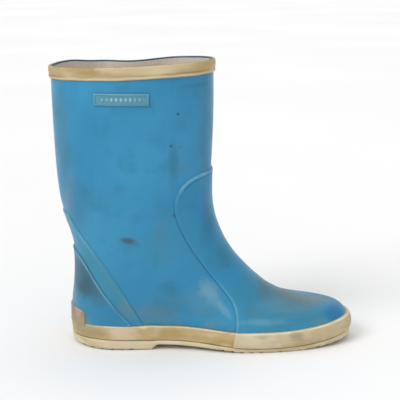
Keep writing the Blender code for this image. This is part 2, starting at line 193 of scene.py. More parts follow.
@dataclass
class Last:
    """The form that the boot is laid up on, as sections from the sole to the rim.

    Rows 0 to 13 are sections of the foot and 14 to 19 sections of the leg. Each runs from
    a point at the back to a point at the front. Lengths are shares of the named sizes.
    """

    # Columns: back x and z, front x and z, width, width at the heel, middle of the seat,
    # widest place on the outer and the inner side, squareness of the nose, waist, drape.
    foot: tuple[tuple[float, ...], ...] = (
        (0.0160, 0.077, 0.9780, 0.092, 1.000, 0.800, 0.165, 0.62, 0.70, 2.30, 1.00, 1.00),
        (0.0140, 0.128, 0.9830, 0.150, 1.004, 0.800, 0.165, 0.62, 0.70, 2.30, 1.00, 1.00),
        (0.0150, 0.178, 0.9735, 0.218, 0.993, 0.808, 0.165, 0.62, 0.70, 2.28, 0.95, 1.00),
        (0.0152, 0.240, 0.9510, 0.268, 0.977, 0.825, 0.160, 0.62, 0.69, 2.22, 0.85, 0.70),
        (0.0152, 0.300, 0.9130, 0.295, 0.957, 0.846, 0.160, 0.62, 0.67, 2.12, 0.70, 0.42),
        (0.0165, 0.360, 0.8400, 0.315, 0.935, 0.867, 0.170, 0.62, 0.65, 2.05, 0.50, 0.20),
        (0.0197, 0.420, 0.7640, 0.354, 0.915, 0.883, 0.190, 0.60, 0.62, 2.08, 0.33, 0.06),
        (0.0230, 0.490, 0.7040, 0.423, 0.900, 0.896, 0.215, 0.58, 0.59, 2.20, 0.20, 0.00),
        (0.0250, 0.560, 0.6540, 0.508, 0.892, 0.912, 0.245, 0.55, 0.56, 2.32, 0.10, 0.00),
        (0.0260, 0.630, 0.6140, 0.595, 0.892, 0.927, 0.280, 0.53, 0.53, 2.38, 0.00, 0.00),
        (0.0252, 0.710, 0.5765, 0.690, 0.900, 0.944, 0.320, 0.51, 0.51, 2.40, 0.00, 0.00),
        (0.0200, 0.800, 0.5445, 0.800, 0.915, 0.962, 0.370, 0.50, 0.50, 2.40, 0.00, 0.00),
        (0.0085, 0.900, 0.5195, 0.920, 0.937, 0.982, 0.430, 0.50, 0.50, 2.40, 0.00, 0.00),
        (-0.0070, 1.000, 0.5040, 1.030, 0.962, 1.000, 0.470, 0.50, 0.50, 2.40, 0.00, 0.00),
    )
    # Columns: height at the back, rise to the front, middle, depth, width.
    leg: tuple[tuple[float, ...], ...] = (
        (0.110, 0.025, 0.2357, 0.938, 0.888),
        (0.255, 0.026, 0.2302, 0.957, 0.922),
        (0.430, 0.030, 0.2291, 0.976, 0.955),
        (0.615, 0.035, 0.2291, 0.991, 0.980),
        (0.810, 0.039, 0.2280, 0.998, 0.994),
        (1.000, 0.043, 0.2265, 1.000, 1.000),
    )
    dip: tuple[float, ...] = (
        -0.15, -0.17, -0.06, -0.02, 0.08, 0.38, 0.82, 1.00, 0.94, 0.62, 0.00,
    )
    seat_dip: float = 5.1 * MM
    waist_outer: float = 4.6 * MM
    waist_inner: float = 5.2 * MM
    toe_in: float = 5.0 * MM
    heel_round: float = 2.0
    rim_wave: float = 1.6 * MM
    wave_at: tuple[float, ...] = (0, 55, 92, 118, 145, 180, 215, 270, 320, 360)
    wave: tuple[float, ...] = (0.0, -0.2, -1.0, -0.35, 0.75, 0.0, -0.25, -0.6, -0.2, 0.0)
    dent_depth: float = 12 * MM
    dent_length: float = 24 * MM
    dent_fade: float = 60 * MM
    creases: tuple[Crease, ...] = ()
    shift: Vector = field(default_factory=Vector)
    columns: list[list[float]] = field(default_factory=list)

    def __post_init__(self) -> None:
        """Turns the tables of shares into columns of real sizes."""
        rows = []
        for back_x, back_z, front_x, front_z, width, *rest in self.foot:
            rows.append([
                back_x * SOLE_LENGTH, back_z * ANKLE_HEIGHT, front_x * SOLE_LENGTH,
                front_z * ANKLE_HEIGHT, width * BALL_WIDTH, *rest,
            ])
        for height, rise, middle, depth, width in self.leg:
            low = ANKLE_HEIGHT + height * LEG_HEIGHT
            half = depth * SHAFT_DEPTH / 2
            rows.append([
                middle * SOLE_LENGTH - half, low, middle * SOLE_LENGTH + half,
                low + rise * LEG_HEIGHT, width * SHAFT_WIDTH, 1, 0.5, 0.5, 0.5, 2.4, 0, 0,
            ])
        self.columns = [list(column) for column in zip(*rows)]

    def fit(self) -> None:
        """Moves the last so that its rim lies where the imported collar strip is."""
        low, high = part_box("upper")
        rows, angles = np.meshgrid(np.linspace(0, RIM_ROW, 60), np.linspace(0, 2 * math.pi, 120))
        points = self.raw(rows, angles)
        reach = points.reshape(-1, 3)
        self.shift = Vector((
            high[0] - reach[:, 0].max(),
            (low[1] + high[1] - reach[:, 1].min() - reach[:, 1].max()) / 2,
            high[2] - reach[:, 2].max(),
        ))
        log.info("last moved by %s mm", [round(1000 * part, 2) for part in self.shift])

    def raw(self, row: np.ndarray, angle: np.ndarray) -> np.ndarray:
        """Points of the upper's outer face before the last is placed.

        Args:
            row: The section, from 0 at the sole to 19 at the rim.
            angle: Round the section, from the front by the inner side, in radians.

        Returns:
            An array of points with the shape of row and a last axis of three.
        """
        (back_x, back_z, front_x, front_z, width, heel, seat, out, inn, nose, waist, drape) = (
            spline(column, row) for column in self.columns
        )
        along = (1 + np.cos(angle)) / 2
        inner = np.sin(angle) > 0
        widest = np.where(inner, inn, out)
        half = width / 2
        share = (along - seat) / (widest - seat + 1e-6)
        level = np.where(along < widest, heel + (1 - heel) * smooth_step(share), 1.0)
        pull = np.where(inner, self.waist_inner, self.waist_outer) / half
        sway = np.where((share > 0) & (share < 1), np.sin(math.pi * np.clip(share, 0, 1)) ** 2, 0)
        level = level - waist * pull * sway
        back = 1 - np.clip(1 - along / seat, 0, 1) ** self.heel_round
        front = 1 - np.clip((along - widest) / (1 - widest), 0, 1) ** nose
        closing = np.clip(back, 0, 1) ** (1 / self.heel_round) * np.clip(front, 0, 1) ** (1 / nose)
        side = half * level * closing
        x = back_x + along * (front_x - back_x)
        z = back_z + along * (front_z - back_z)
        z = z - drape * self.seat_dip * spline(self.dip, along * (len(self.dip) - 1))
        toe = smooth_step((along - 0.5) / 0.5) * np.clip(1 - row / 11, 0, 1)
        y = self.toe_in * toe + np.where(inner, side, -side)
        near = smooth_step(1 - (self.columns[1][-1] - back_z) / self.dent_fade)
        turn = np.degrees(angle) % 360
        z = z + self.rim_wave * self.ripple(turn) * near
        middle = (back_x + front_x) / 2
        dent = bell(x, middle, self.dent_length) * side / half
        y = y - np.where(inner, self.dent_depth * dent * near, 0)
        return np.stack([x, y, z], -1)

    def ripple(self, turn: np.ndarray) -> np.ndarray:
        """How the rim rises and falls round the leg.

        Args:
            turn: Turns from the front, in degrees.

        Returns:
            The rise, as a share of the wave.
        """
        at = np.asarray(self.wave_at, float)
        spot = np.clip(np.searchsorted(at, turn, side="right") - 1, 0, len(at) - 2)
        part = (turn - at[spot]) / (at[spot + 1] - at[spot])
        known = np.asarray(self.wave)
        return known[spot] + (known[spot + 1] - known[spot]) * smooth_step(part)

    def face(
        self, row: np.ndarray, angle: np.ndarray, offset: np.ndarray | float = 0.0,
        level: bool = False,
    ) -> np.ndarray:
        """Points of the upper's outer face, moved out along its normals.

        Args:
            row: The section of each point.
            angle: The turn of each point from the front.
            offset: How far each point stands out.
            level: Whether it moves out level, as the strips round the sole do.

        Returns:
            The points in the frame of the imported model.
        """
        step = 0.01
        here = self.raw(row, angle)
        up = self.raw(np.minimum(row + step, RIM_ROW), angle)
        up = up - self.raw(np.maximum(row - step, 0), angle)
        round_it = self.raw(row, angle + step) - self.raw(row, angle - step)
        normal = np.cross(round_it, up)
        if level:
            normal[..., 2] = 0
        normal /= np.linalg.norm(normal, axis=-1, keepdims=True) + 1e-12
        here = here + np.asarray(self.shift)
        if not level:
            for crease in self.creases:
                offset = offset + crease.offset(here)
        return here + normal * np.asarray(offset)[..., None]

    def seat(self, x: np.ndarray) -> np.ndarray:
        """Height of the outsole's top at places along the boot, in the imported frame.

        Args:
            x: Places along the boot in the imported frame.

        Returns:
            The heights.
        """
        back_x, back_z, front_x, front_z = (self.columns[k][0] for k in range(4))
        along = np.clip((x - self.shift.x - back_x) / (front_x - back_x), 0, 1)
        straight = back_z + along * (front_z - back_z)
        dip = spline(self.dip, along * (len(self.dip) - 1))
        return straight - self.seat_dip * dip - GAP + self.shift.z


@dataclass(frozen=True)
class Outline:
    """The free edge of a laid sheet, as seen from the side of the boot."""

    points: tuple[tuple[float, float], ...]
    front: bool
    halvings: int = 34

    def edge_x(self, z: np.ndarray) -> np.ndarray:
        """Where the edge lies along the boot at each height, before the last is placed.

        Args:
            z: Heights before the last is placed.

        Returns:
            Places along the boot, in metres.
        """
        count = len(self.points) - 1
        place = np.linspace(0, count, 400)
        x = spline([p[0] * SOLE_LENGTH for p in self.points], place)
        height = spline([p[1] * ANKLE_HEIGHT for p in self.points], place)
        order = np.argsort(height)
        return np.interp(z, height[order], x[order])

    def top_row(self, last: Last) -> float:
        """The row in which the sheet ends on the centre line.

        Args:
            last: The form under the sheet.

        Returns:
            The row.
        """
        target = max(z for _, z in self.points) * ANKLE_HEIGHT
        rows = np.linspace(SHEET_ROW, RIM_ROW, 2000)
        angle = np.full_like(rows, 0.0 if self.front else math.pi)
        return float(np.interp(target, last.raw(rows, angle)[:, 2], rows))

    def turn(self, last: Last, rows: np.ndarray, side: Side) -> np.ndarray:
        """Where the edge crosses each row.

        Args:
            last: The form under the sheet.
            rows: The rows.
            side: The side on which the edge is read.

        Returns:
            The angle of the crossing in each row.
        """
        low, high = np.zeros_like(rows), np.full_like(rows, math.pi)
        for _ in range(self.halvings):
            middle = (low + high) / 2
            point = last.raw(rows, side.value * middle)
            ahead = point[:, 0] > self.edge_x(point[:, 2])
            low, high = np.where(ahead, middle, low), np.where(ahead, high, middle)
        return side.value * (low + high) / 2


def lofted(
    name: str, across: int, along: int, place: Callable[[np.ndarray, np.ndarray], np.ndarray],
    inside: Vector | None = None,
    tint: Callable[[np.ndarray, np.ndarray], np.ndarray] | None = None,
) -> bpy.types.Object:
    """Bends a grid into a skin.

    Args:
        name: The piece's name.
        across: Faces in the grid's first direction.
        along: Faces in its second direction.
        place: Gives the points for shares of both directions.
        inside: For a skin that isn't closed, a point on its inner side.
        tint: Gives each point's tint from wear, soil, painted highlight and painted shade, kept as
            attribute "tint_level".

    Returns:
        The new piece, smooth, with its shares as UV map "laid".
    """
    bm = bmesh.new()
    bmesh.ops.create_grid(bm, x_segments=across, y_segments=along, size=0.5)
    shares = np.array([[v.co.x + 0.5, v.co.y + 0.5] for v in bm.verts])
    laid = bm.loops.layers.uv.new("laid")
    for face in bm.faces:
        for loop in face.loops:
            loop[laid].uv = shares[loop.vert.index]
        face.smooth = True
    for vert, point in zip(bm.verts, place(shares[:, 0], shares[:, 1])):
        vert.co = point
    if tint is not None:
        tint_level = bm.verts.layers.float.new("tint_level")
        for vert, share in zip(bm.verts, tint(shares[:, 0], shares[:, 1])):
            vert[tint_level] = share
    bmesh.ops.remove_doubles(bm, verts=bm.verts, dist=1e-6)
    bmesh.ops.dissolve_degenerate(bm, edges=bm.edges, dist=1e-7)
    bmesh.ops.recalc_face_normals(bm, faces=bm.faces)
    if inside is not None:
        outward = sum(
            (face.calc_center_median() - inside).dot(face.normal) * face.calc_area()
            for face in bm.faces
        )
        if outward < 0:
            bmesh.ops.reverse_faces(bm, faces=bm.faces)
    return finished(name, bm)


def finished(name: str, bm: bmesh.types.BMesh) -> bpy.types.Object:
    """Makes a piece of a bmesh, riding on the boot's only body.

    Args:
        name: The piece's name.
        bm: Its bmesh, which is freed.

    Returns:
        The piece.
    """
    mesh = bpy.data.meshes.new(name)
    bm.to_mesh(mesh)
    bm.free()
    piece = bpy.data.objects.new(name, mesh)
    bpy.context.scene.collection.objects.link(piece)
    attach(piece, BODY)
    return piece


def linear(value: str) -> tuple[float, float, float, float]:
    """Turns an sRGB hex colour into a linear one with full alpha.

    Args:
        value: The colour as # and six digits.

    Returns:
        The linear colour.
    """
    parts = [int(value[k:k + 2], 16) / 255 for k in (1, 3, 5)]
    plain = [p / 12.92 if p <= 0.04045 else ((p + 0.055) / 1.055) ** 2.4 for p in parts]
    return (*plain, 1.0)


class Kind(Enum):
    """Kinds of node: type, settings, inputs in the order in which they come, output read."""

    PLACE = ("ShaderNodeTexCoord", {}, (), "Object")
    TINT_ATTRIBUTE = ("ShaderNodeAttribute", {"attribute_name": "tint_level"}, (), "Fac")
    LAID = ("ShaderNodeUVMap", {"uv_map": "laid"}, (), 0)
    STRETCHED = ("ShaderNodeMapping", {}, ("Vector", "Scale"), 0)
    NOISE = ("ShaderNodeTexNoise", {}, ("Vector", "Scale", "Detail", "Roughness"), "Fac")
    WALES = (
        "ShaderNodeTexWave", {"wave_type": "BANDS", "bands_direction": "X"},
        ("Vector", "Scale", "Distortion", "Detail", "Detail Scale"), "Fac",
    )
    SPAN = (
        "ShaderNodeMapRange", {"interpolation_type": "SMOOTHSTEP"},
        ("Value", "From Min", "From Max", "To Min", "To Max"), "Result",
    )
    HEIGHT = ("ShaderNodeSeparateXYZ", {}, (0,), "Z")
    TIMES = ("ShaderNodeMath", {"operation": "MULTIPLY"}, (0, 1), 0)
    SUM = ("ShaderNodeMath", {"operation": "ADD"}, (0, 1), 0)
    MIX = ("ShaderNodeMix", {"data_type": "RGBA"}, ("Factor", 6, 7), 2)
    GREY = ("ShaderNodeCombineColor", {}, (0, 1, 2), 0)
    AWAY = ("ShaderNodeVectorMath", {"operation": "SUBTRACT"}, (0, 1), 0)
    REPEATED = ("ShaderNodeVectorMath", {"operation": "MULTIPLY"}, (0, 1), 0)
    SHARED = ("ShaderNodeVectorMath", {"operation": "DIVIDE"}, (0, 1), 0)
    LENGTH = ("ShaderNodeVectorMath", {"operation": "LENGTH"}, (0,), "Value")
    TURNED = ("ShaderNodeVectorRotate", {"rotation_type": "Y_AXIS"}, ("Vector", "Angle"), 0)
    BUMP = ("ShaderNodeBump", {}, ("Height", "Distance", "Normal"), 0)


@dataclass(frozen=True)
class Mark:
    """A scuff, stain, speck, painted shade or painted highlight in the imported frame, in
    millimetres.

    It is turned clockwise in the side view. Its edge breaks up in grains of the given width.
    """

    centre: tuple[float, float, float]
    reach: tuple[float, float, float]
    colour: str
    strength: float
    turn: float = 0.0
    grain: float = 6.0
    ragged: float = 1.1


class Graph:
    """The node tree of one material."""

    def __init__(self, name: str) -> None:
        """Starts a material of that name with its usual shader.

        Args:
            name: The piece's name.
        """
        self.material = bpy.data.materials.new(name)
        self.material.use_nodes = True
        self.tree = self.material.node_tree
        self.shader = self.tree.nodes["Principled BSDF"]
        self.here = self.add(Kind.PLACE)

    def add(self, kind: Kind, *values: object) -> bpy.types.NodeSocket:
        """Adds a node with its settings, values and links.

        Args:
            kind: The kind of node.
            values: For each input in the kind's order, a number, a colour or its socket.

        Returns:
            The output that is read.
        """
        name, settings, inputs, output = kind.value
        node = self.tree.nodes.new(name)
        for key, setting in settings.items():
            setattr(node, key, setting)
        for key, value in zip(inputs, values):
            self.feed(node.inputs[key], value)
        return node.outputs[output]

    def feed(self, socket: bpy.types.NodeSocket, value: object) -> None:
        """Links a socket to the one that feeds it, or sets its value.

        Args:
            socket: The input.
            value: The output that feeds it, or a number or colour.
        """
        if isinstance(value, bpy.types.NodeSocket):
            self.tree.links.new(value, socket)
        else:
            socket.default_value = value

    def blobs(
        self, size: float, detail: float = 2.0, stretch: tuple[float, float, float] = (1, 1, 1),
    ) -> bpy.types.NodeSocket:
        """Cloudy pattern whose blobs have a real size.

        Args:
            size: The width of a blob in metres.
            detail: How many finer layers it has.
            stretch: How much closer the blobs lie along each axis.

        Returns:
            The pattern, about 0.5 on average.
        """
        room = self.add(Kind.STRETCHED, self.here, stretch)
        return self.add(Kind.NOISE, room, 0.5 / size, detail, 0.55)

    def patch(self, spot: Mark) -> bpy.types.NodeSocket:
        """Share of a mark at each place: an oval with a ragged edge, on one side only.

        Args:
            spot: The mark.

        Returns:
            Its strength at each place.
        """
        centre, reach = (tuple(part * MM for part in parts) for parts in (spot.centre, spot.reach))
        away = self.add(Kind.AWAY, self.here, centre)
        turned = self.add(Kind.TURNED, away, -math.radians(spot.turn))
        far = self.add(Kind.LENGTH, self.add(Kind.SHARED, turned, reach))
        rough = self.add(Kind.TIMES, self.blobs(spot.grain * MM, 4.0), spot.ragged)
        ragged = self.add(Kind.SUM, far, rough)
        middle = spot.ragged / 2
        return self.add(Kind.SPAN, ragged, 1.3 + middle, 0.3 + middle, 0.0, spot.strength)

    def marked(
        self, colour: bpy.types.NodeSocket, marks: Sequence[Mark],
    ) -> bpy.types.NodeSocket:
        """Lays marks over a colour.

        Args:
            colour: The clean colour.
            marks: The marks, in the order in which they lie on each other.

        Returns:
            The marked colour.
        """
        for mark in marks:
            colour = self.add(Kind.MIX, self.patch(mark), colour, linear(mark.colour))
        return colour

    def finish(self, **inputs: object) -> bpy.types.Material:
        """Sets or links the shader's sockets.

        Args:
            inputs: A value or socket for each, named with underscores for spaces.

        Returns:
            The material.
        """
        for key, value in inputs.items():
            self.feed(self.shader.inputs[key.replace("_", " ")], value)
        return self.material


@dataclass(frozen=True)
class SheetRubber:
    """Calendered natural rubber sheet, vulcanised on the last."""

    name: str = "vulcanised_blue_rubber_wall"
    body: str = "#257FA9"
    pale: str = "#2F8AB4"
    deep: str = "#1F7294"
    # Pale teal, painted as a highlight on rolled edges and laid on the badge's raised work.
    pale_and_highlight: str = "#6FA6B6"
    # Deep teal, painted as shade at the foot of edges and behind their roll; it also darkens the
    # rim's cut edge.
    shade_and_soil: str = "#173F50"
    # Greyer blue, painted as shade low on the boot where less light falls.
    low_shade: str = "#3C8296"
    dust: str = "#6F8584"
    marks: tuple[Mark, ...] = ()

    def material(self) -> bpy.types.Material:
        """Builds the blue of one sheet, with its own marks.

        Returns:
            The material.
        """
        g = Graph(self.name)
        # Blue mixed through the rubber: soft clouds about 38 and 10 mm wide, dulled low down by
        # painted shade.
        cloud = g.add(Kind.SPAN, g.blobs(38 * MM, 3.0), 0.35, 0.68)
        colour = g.add(Kind.MIX, cloud, linear(self.body), linear(self.pale))
        low = g.add(Kind.SPAN, g.blobs(10 * MM, 5.0), 0.47, 0.75, 0.0, 0.6)
        colour = g.add(Kind.MIX, low, colour, linear(self.deep))
        height = g.add(Kind.HEIGHT, g.here)
        # Painted shade: duller from 150 mm down, full below 60 mm, in soft patches.
        low_shade = g.add(Kind.SPAN, height, 150 * MM, 60 * MM, 0.0, 0.35)
        low_shade = g.add(Kind.TIMES, low_shade, g.add(Kind.SPAN, g.blobs(22 * MM, 4.0), 0.35, 0.7))
        colour = g.add(Kind.MIX, low_shade, colour, linear(self.low_shade))
        dust = g.add(Kind.SPAN, height, 30 * MM, 15 * MM, 0.0, 0.6)
        dust = g.add(Kind.TIMES, dust, g.add(Kind.SPAN, g.blobs(7 * MM, 5.0), 0.48, 0.7))
        colour = g.marked(g.add(Kind.MIX, dust, colour, linear(self.dust)), self.marks)
        # Painted highlight in broken stretches on rolled free edges, painted shade at their foot
        # and behind.
        edge = g.add(Kind.TINT_ATTRIBUTE)
        broken = g.add(Kind.SPAN, g.blobs(9 * MM, 3.0), 0.35, 0.65, 0.35, 1.0)
        pale = g.add(Kind.TIMES, g.add(Kind.SPAN, edge, 0.0, 1.0), broken)
        colour = g.add(Kind.MIX, pale, colour, linear(self.pale_and_highlight))
        dark = g.add(Kind.TIMES, g.add(Kind.SPAN, edge, 0.0, -1.0), 0.85)
        colour = g.add(Kind.MIX, dark, colour, linear(self.shade_and_soil))
        # Pressed by hand, so satin and slightly wavy: a soft, broad light with no sharp edge.
        rough = g.add(Kind.SPAN, g.blobs(14 * MM, 4.0), 0.3, 0.7, 0.36, 0.50)
        skin = g.add(Kind.BUMP, g.blobs(0.7 * MM, 2.0), 0.03 * MM)
        skin = g.add(Kind.BUMP, g.blobs(9 * MM, 2.0), 0.30 * MM, skin)
        return g.finish(
            Base_Color=colour, Roughness=rough, Normal=skin, IOR=1.52, Specular_IOR_Level=0.32,
            Coat_Weight=0.09, Coat_Roughness=0.26,
        )


@dataclass(frozen=True)
class CreamRubber:
    """Pale natural rubber, cut in strips or moulded, yellowed by light."""

    name: str
    body: str
    tan: str
    pale: str
    tan_share: float
    marks: tuple[Mark, ...] = ()
    pale_and_highlight: str = "#E6DAC0"
    shade_and_soil: str = "#8A7752"

    def material(self) -> bpy.types.Material:
        """Builds the cream of a strip or of the sole.

        Returns:
            The material.
        """
        g = Graph(self.name)
        # Yellowing and wear run along the strip: patches 14, 3 and 5 mm high, drawn out level.
        yellow = g.add(
            Kind.SPAN, g.blobs(14 * MM, 4.0, (0.45, 0.45, 1.5)), 0.66 - self.tan_share,
            0.88 - self.tan_share,
        )
        colour = g.add(Kind.MIX, yellow, linear(self.body), linear(self.tan))
        streak = g.add(Kind.SPAN, g.blobs(3 * MM, 4.0, (0.14, 0.14, 1.2)), 0.48, 0.70, 0.0, 0.8)
        colour = g.add(Kind.MIX, streak, colour, linear(self.tan))
        faded = g.add(Kind.SPAN, g.blobs(5 * MM, 4.0, (0.5, 0.5, 1.2)), 0.50, 0.70, 0.0, 0.6)
        colour = g.marked(g.add(Kind.MIX, faded, colour, linear(self.pale)), self.marks)
        # Painted highlight on the foxing's top ledge; elsewhere paler and darker bands and soil at
        # joints.
        edge = g.add(Kind.TINT_ATTRIBUTE)
        broken = g.add(Kind.SPAN, g.blobs(6 * MM, 4.0, (0.5, 0.5, 1.0)), 0.36, 0.62, 0.3, 1.0)
        for tint, reach in ((self.pale_and_highlight, 1.0), (self.shade_and_soil, -1.0)):
            share = g.add(Kind.TIMES, g.add(Kind.SPAN, edge, 0.0, reach), broken)
            colour = g.add(Kind.MIX, share, colour, linear(tint))
        # Dry, uncoated rubber: matt, with a fine tooth and shallow dents.
        rough = g.add(Kind.SPAN, g.blobs(6 * MM, 4.0), 0.3, 0.7, 0.55, 0.72)
        skin = g.add(Kind.BUMP, g.blobs(0.9 * MM, 3.0), 0.06 * MM)
        skin = g.add(Kind.BUMP, g.blobs(6 * MM, 3.0, (0.5, 0.5, 1.2)), 0.40 * MM, skin)
        return g.finish(
            Base_Color=colour, Roughness=rough, Normal=skin, IOR=1.52, Specular_IOR_Level=0.35,
        )


@dataclass(frozen=True)
class KnitLining:
    """Weft-knitted cotton, glued to the back of the rubber sheet."""

    name: str = "knitted_cotton_lining"
    yarn: str = "#E9DDD0"
    shade: str = "#B8A88F"
    wales: float = 260.0
    courses: float = 340.0

    def material(self) -> bpy.types.Material:
        """Builds the lining.

        Returns:
            The material.
        """
        g = Graph(self.name)
        # A real wale is under 1 mm wide. 260 of them round the leg, 1.3 mm each, are as
        # coarse as they need to be to show as fine upright ribs.
        count = g.add(Kind.REPEATED, g.add(Kind.LAID), (self.wales, self.courses, 1.0))
        wave = g.add(Kind.WALES, count, 0.3142, 1.2, 1.0, 1.5)
        blotch = g.add(Kind.SPAN, g.blobs(18 * MM, 4.0), 0.35, 0.7)
        ribbed = g.add(Kind.TIMES, wave, 0.35)
        colour = g.add(Kind.MIX, ribbed, linear(self.yarn), linear(self.shade))
        colour = g.add(Kind.MIX, g.add(Kind.TIMES, blotch, 0.4), colour, linear(self.shade))
        fuzz = g.add(Kind.BUMP, g.blobs(1.0 * MM, 3.0), 0.15 * MM)
        skin = g.add(Kind.BUMP, wave, 0.25 * MM, fuzz)
        return g.finish(
            Base_Color=colour, Roughness=0.92, Normal=skin, Sheen_Weight=0.25,
            Specular_IOR_Level=0.2,
        )


@dataclass(frozen=True)
class ScuffRubber:
    """Reclaimed rubber, moulded as a patch for the heel."""

    name: str = "moulded_scuff_rubber"
    body: str = "#8C7E6E"
    pale: str = "#A5978A"
    low: str = "#A08F6C"

    def material(self) -> bpy.types.Material:
        """Builds the patch at the back of the heel.

        Returns:
            The material.
        """
        g = Graph(self.name)
        # Filled, grey-brown and dull, pale in spots of 4 mm where it wears, and yellower low down.
        tint = g.add(Kind.SPAN, g.blobs(4 * MM, 4.0), 0.45, 0.7)
        colour = g.add(Kind.MIX, tint, linear(self.body), linear(self.pale))
        low = g.add(Kind.SPAN, g.add(Kind.HEIGHT, g.here), 30 * MM, 20 * MM, 0.0, 0.8)
        colour = g.add(Kind.MIX, low, colour, linear(self.low))
        skin = g.add(Kind.BUMP, g.blobs(0.8 * MM, 3.0), 0.07 * MM)
        return g.finish(Base_Color=colour, Roughness=0.7, Normal=skin, Specular_IOR_Level=0.3)


@dataclass(frozen=True)
class InsoleCloth:
    """Cotton cloth glued on foam."""

    name: str = "cotton_faced_foam_insole"
    body: str = "#B4A892"
    tint: str = "#8E8474"

    def material(self) -> bpy.types.Material:
        """Builds the sock of the boot.

        Returns:
            The material.
        """
        g = Graph(self.name)
        # Pressed flat and darkened by the foot in patches of 20 mm, with a dry, fuzzy face.
        share = g.add(Kind.SPAN, g.blobs(20 * MM, 3.0), 0.4, 0.7)
        colour = g.add(Kind.MIX, share, linear(self.body), linear(self.tint))
        skin = g.add(Kind.BUMP, g.blobs(0.8 * MM, 2.0), 0.12 * MM)
        return g.finish(Base_Color=colour, Roughness=0.9, Normal=skin, Sheen_Weight=0.2)


@dataclass
class Upper:
    """Leg and foot in one lined wall, rounded over at the rim."""

    last: Last
    columns: int = 240
    outer_rows: int = 130
    inner_rows: int = 60
    lip_rows: int = 6
    rim_blend: float = 0.4

    @property
    def total(self) -> int:
        """Rows of the whole profile."""
        return self.outer_rows + self.lip_rows + self.inner_rows

    def build(self, rubber: bpy.types.Material, lining: bpy.types.Material) -> bpy.types.Object:
        """Lofts the wall and gives its inner face the lining.

        Args:
            rubber: The outer finish.
            lining: The inner finish.

        Returns:
            The upper.
        """
        piece = lofted("upper_wall", self.columns, self.total, self.place, tint=self.tint)
        piece.data.materials.append(rubber)
        piece.data.materials.append(lining)
        laid = piece.data.uv_layers["laid"].data
        turn = (self.outer_rows + self.lip_rows + 1) / self.total
        for polygon in piece.data.polygons:
            middle = sum(laid[k].uv.y for k in polygon.loop_indices) / polygon.loop_total
            polygon.material_index = 1 if middle > turn else 0
        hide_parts("upper")
        return piece

    def tint(self, round_share: np.ndarray, profile_share: np.ndarray) -> np.ndarray:
        """Darkening of each point: only on the cut edge at the rim."""
        return np.where(profile_share * self.total > self.outer_rows - 0.5, -1.0, 0.0)

    def place(self, round_share: np.ndarray, profile_share: np.ndarray) -> np.ndarray:
        """Points of the wall: up the outside, over the rim, down the lining.

        Args:
            round_share: Shares of the way round.
            profile_share: Shares of the way up the outside and down the inside.

        Returns:
            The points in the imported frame.
        """
        step = profile_share * self.total
        angle = round_share * 2 * math.pi
        lip = np.clip((step - self.outer_rows) / self.lip_rows, 0, 1)
        rise = np.clip(step / self.outer_rows, 0, 1)
        fall = np.clip((step - self.outer_rows - self.lip_rows) / self.inner_rows, 0, 1)
        row = np.where(step > self.outer_rows, (1 - fall**2) * RIM_ROW, rise * RIM_ROW)
        offset = -WALL * (1 - np.cos(math.pi * lip)) / 2
        points = self.last.face(row, angle, offset)
        level = smooth_step((row - RIM_ROW + self.rim_blend) / self.rim_blend)
        points[:, 2] += 0.5 * WALL * (np.sin(math.pi * lip) - level)
        closed = (profile_share <= 0) | (profile_share >= 1)
        points[closed, 2] = self.last.seat(points[closed, 0]) + GAP
        return points


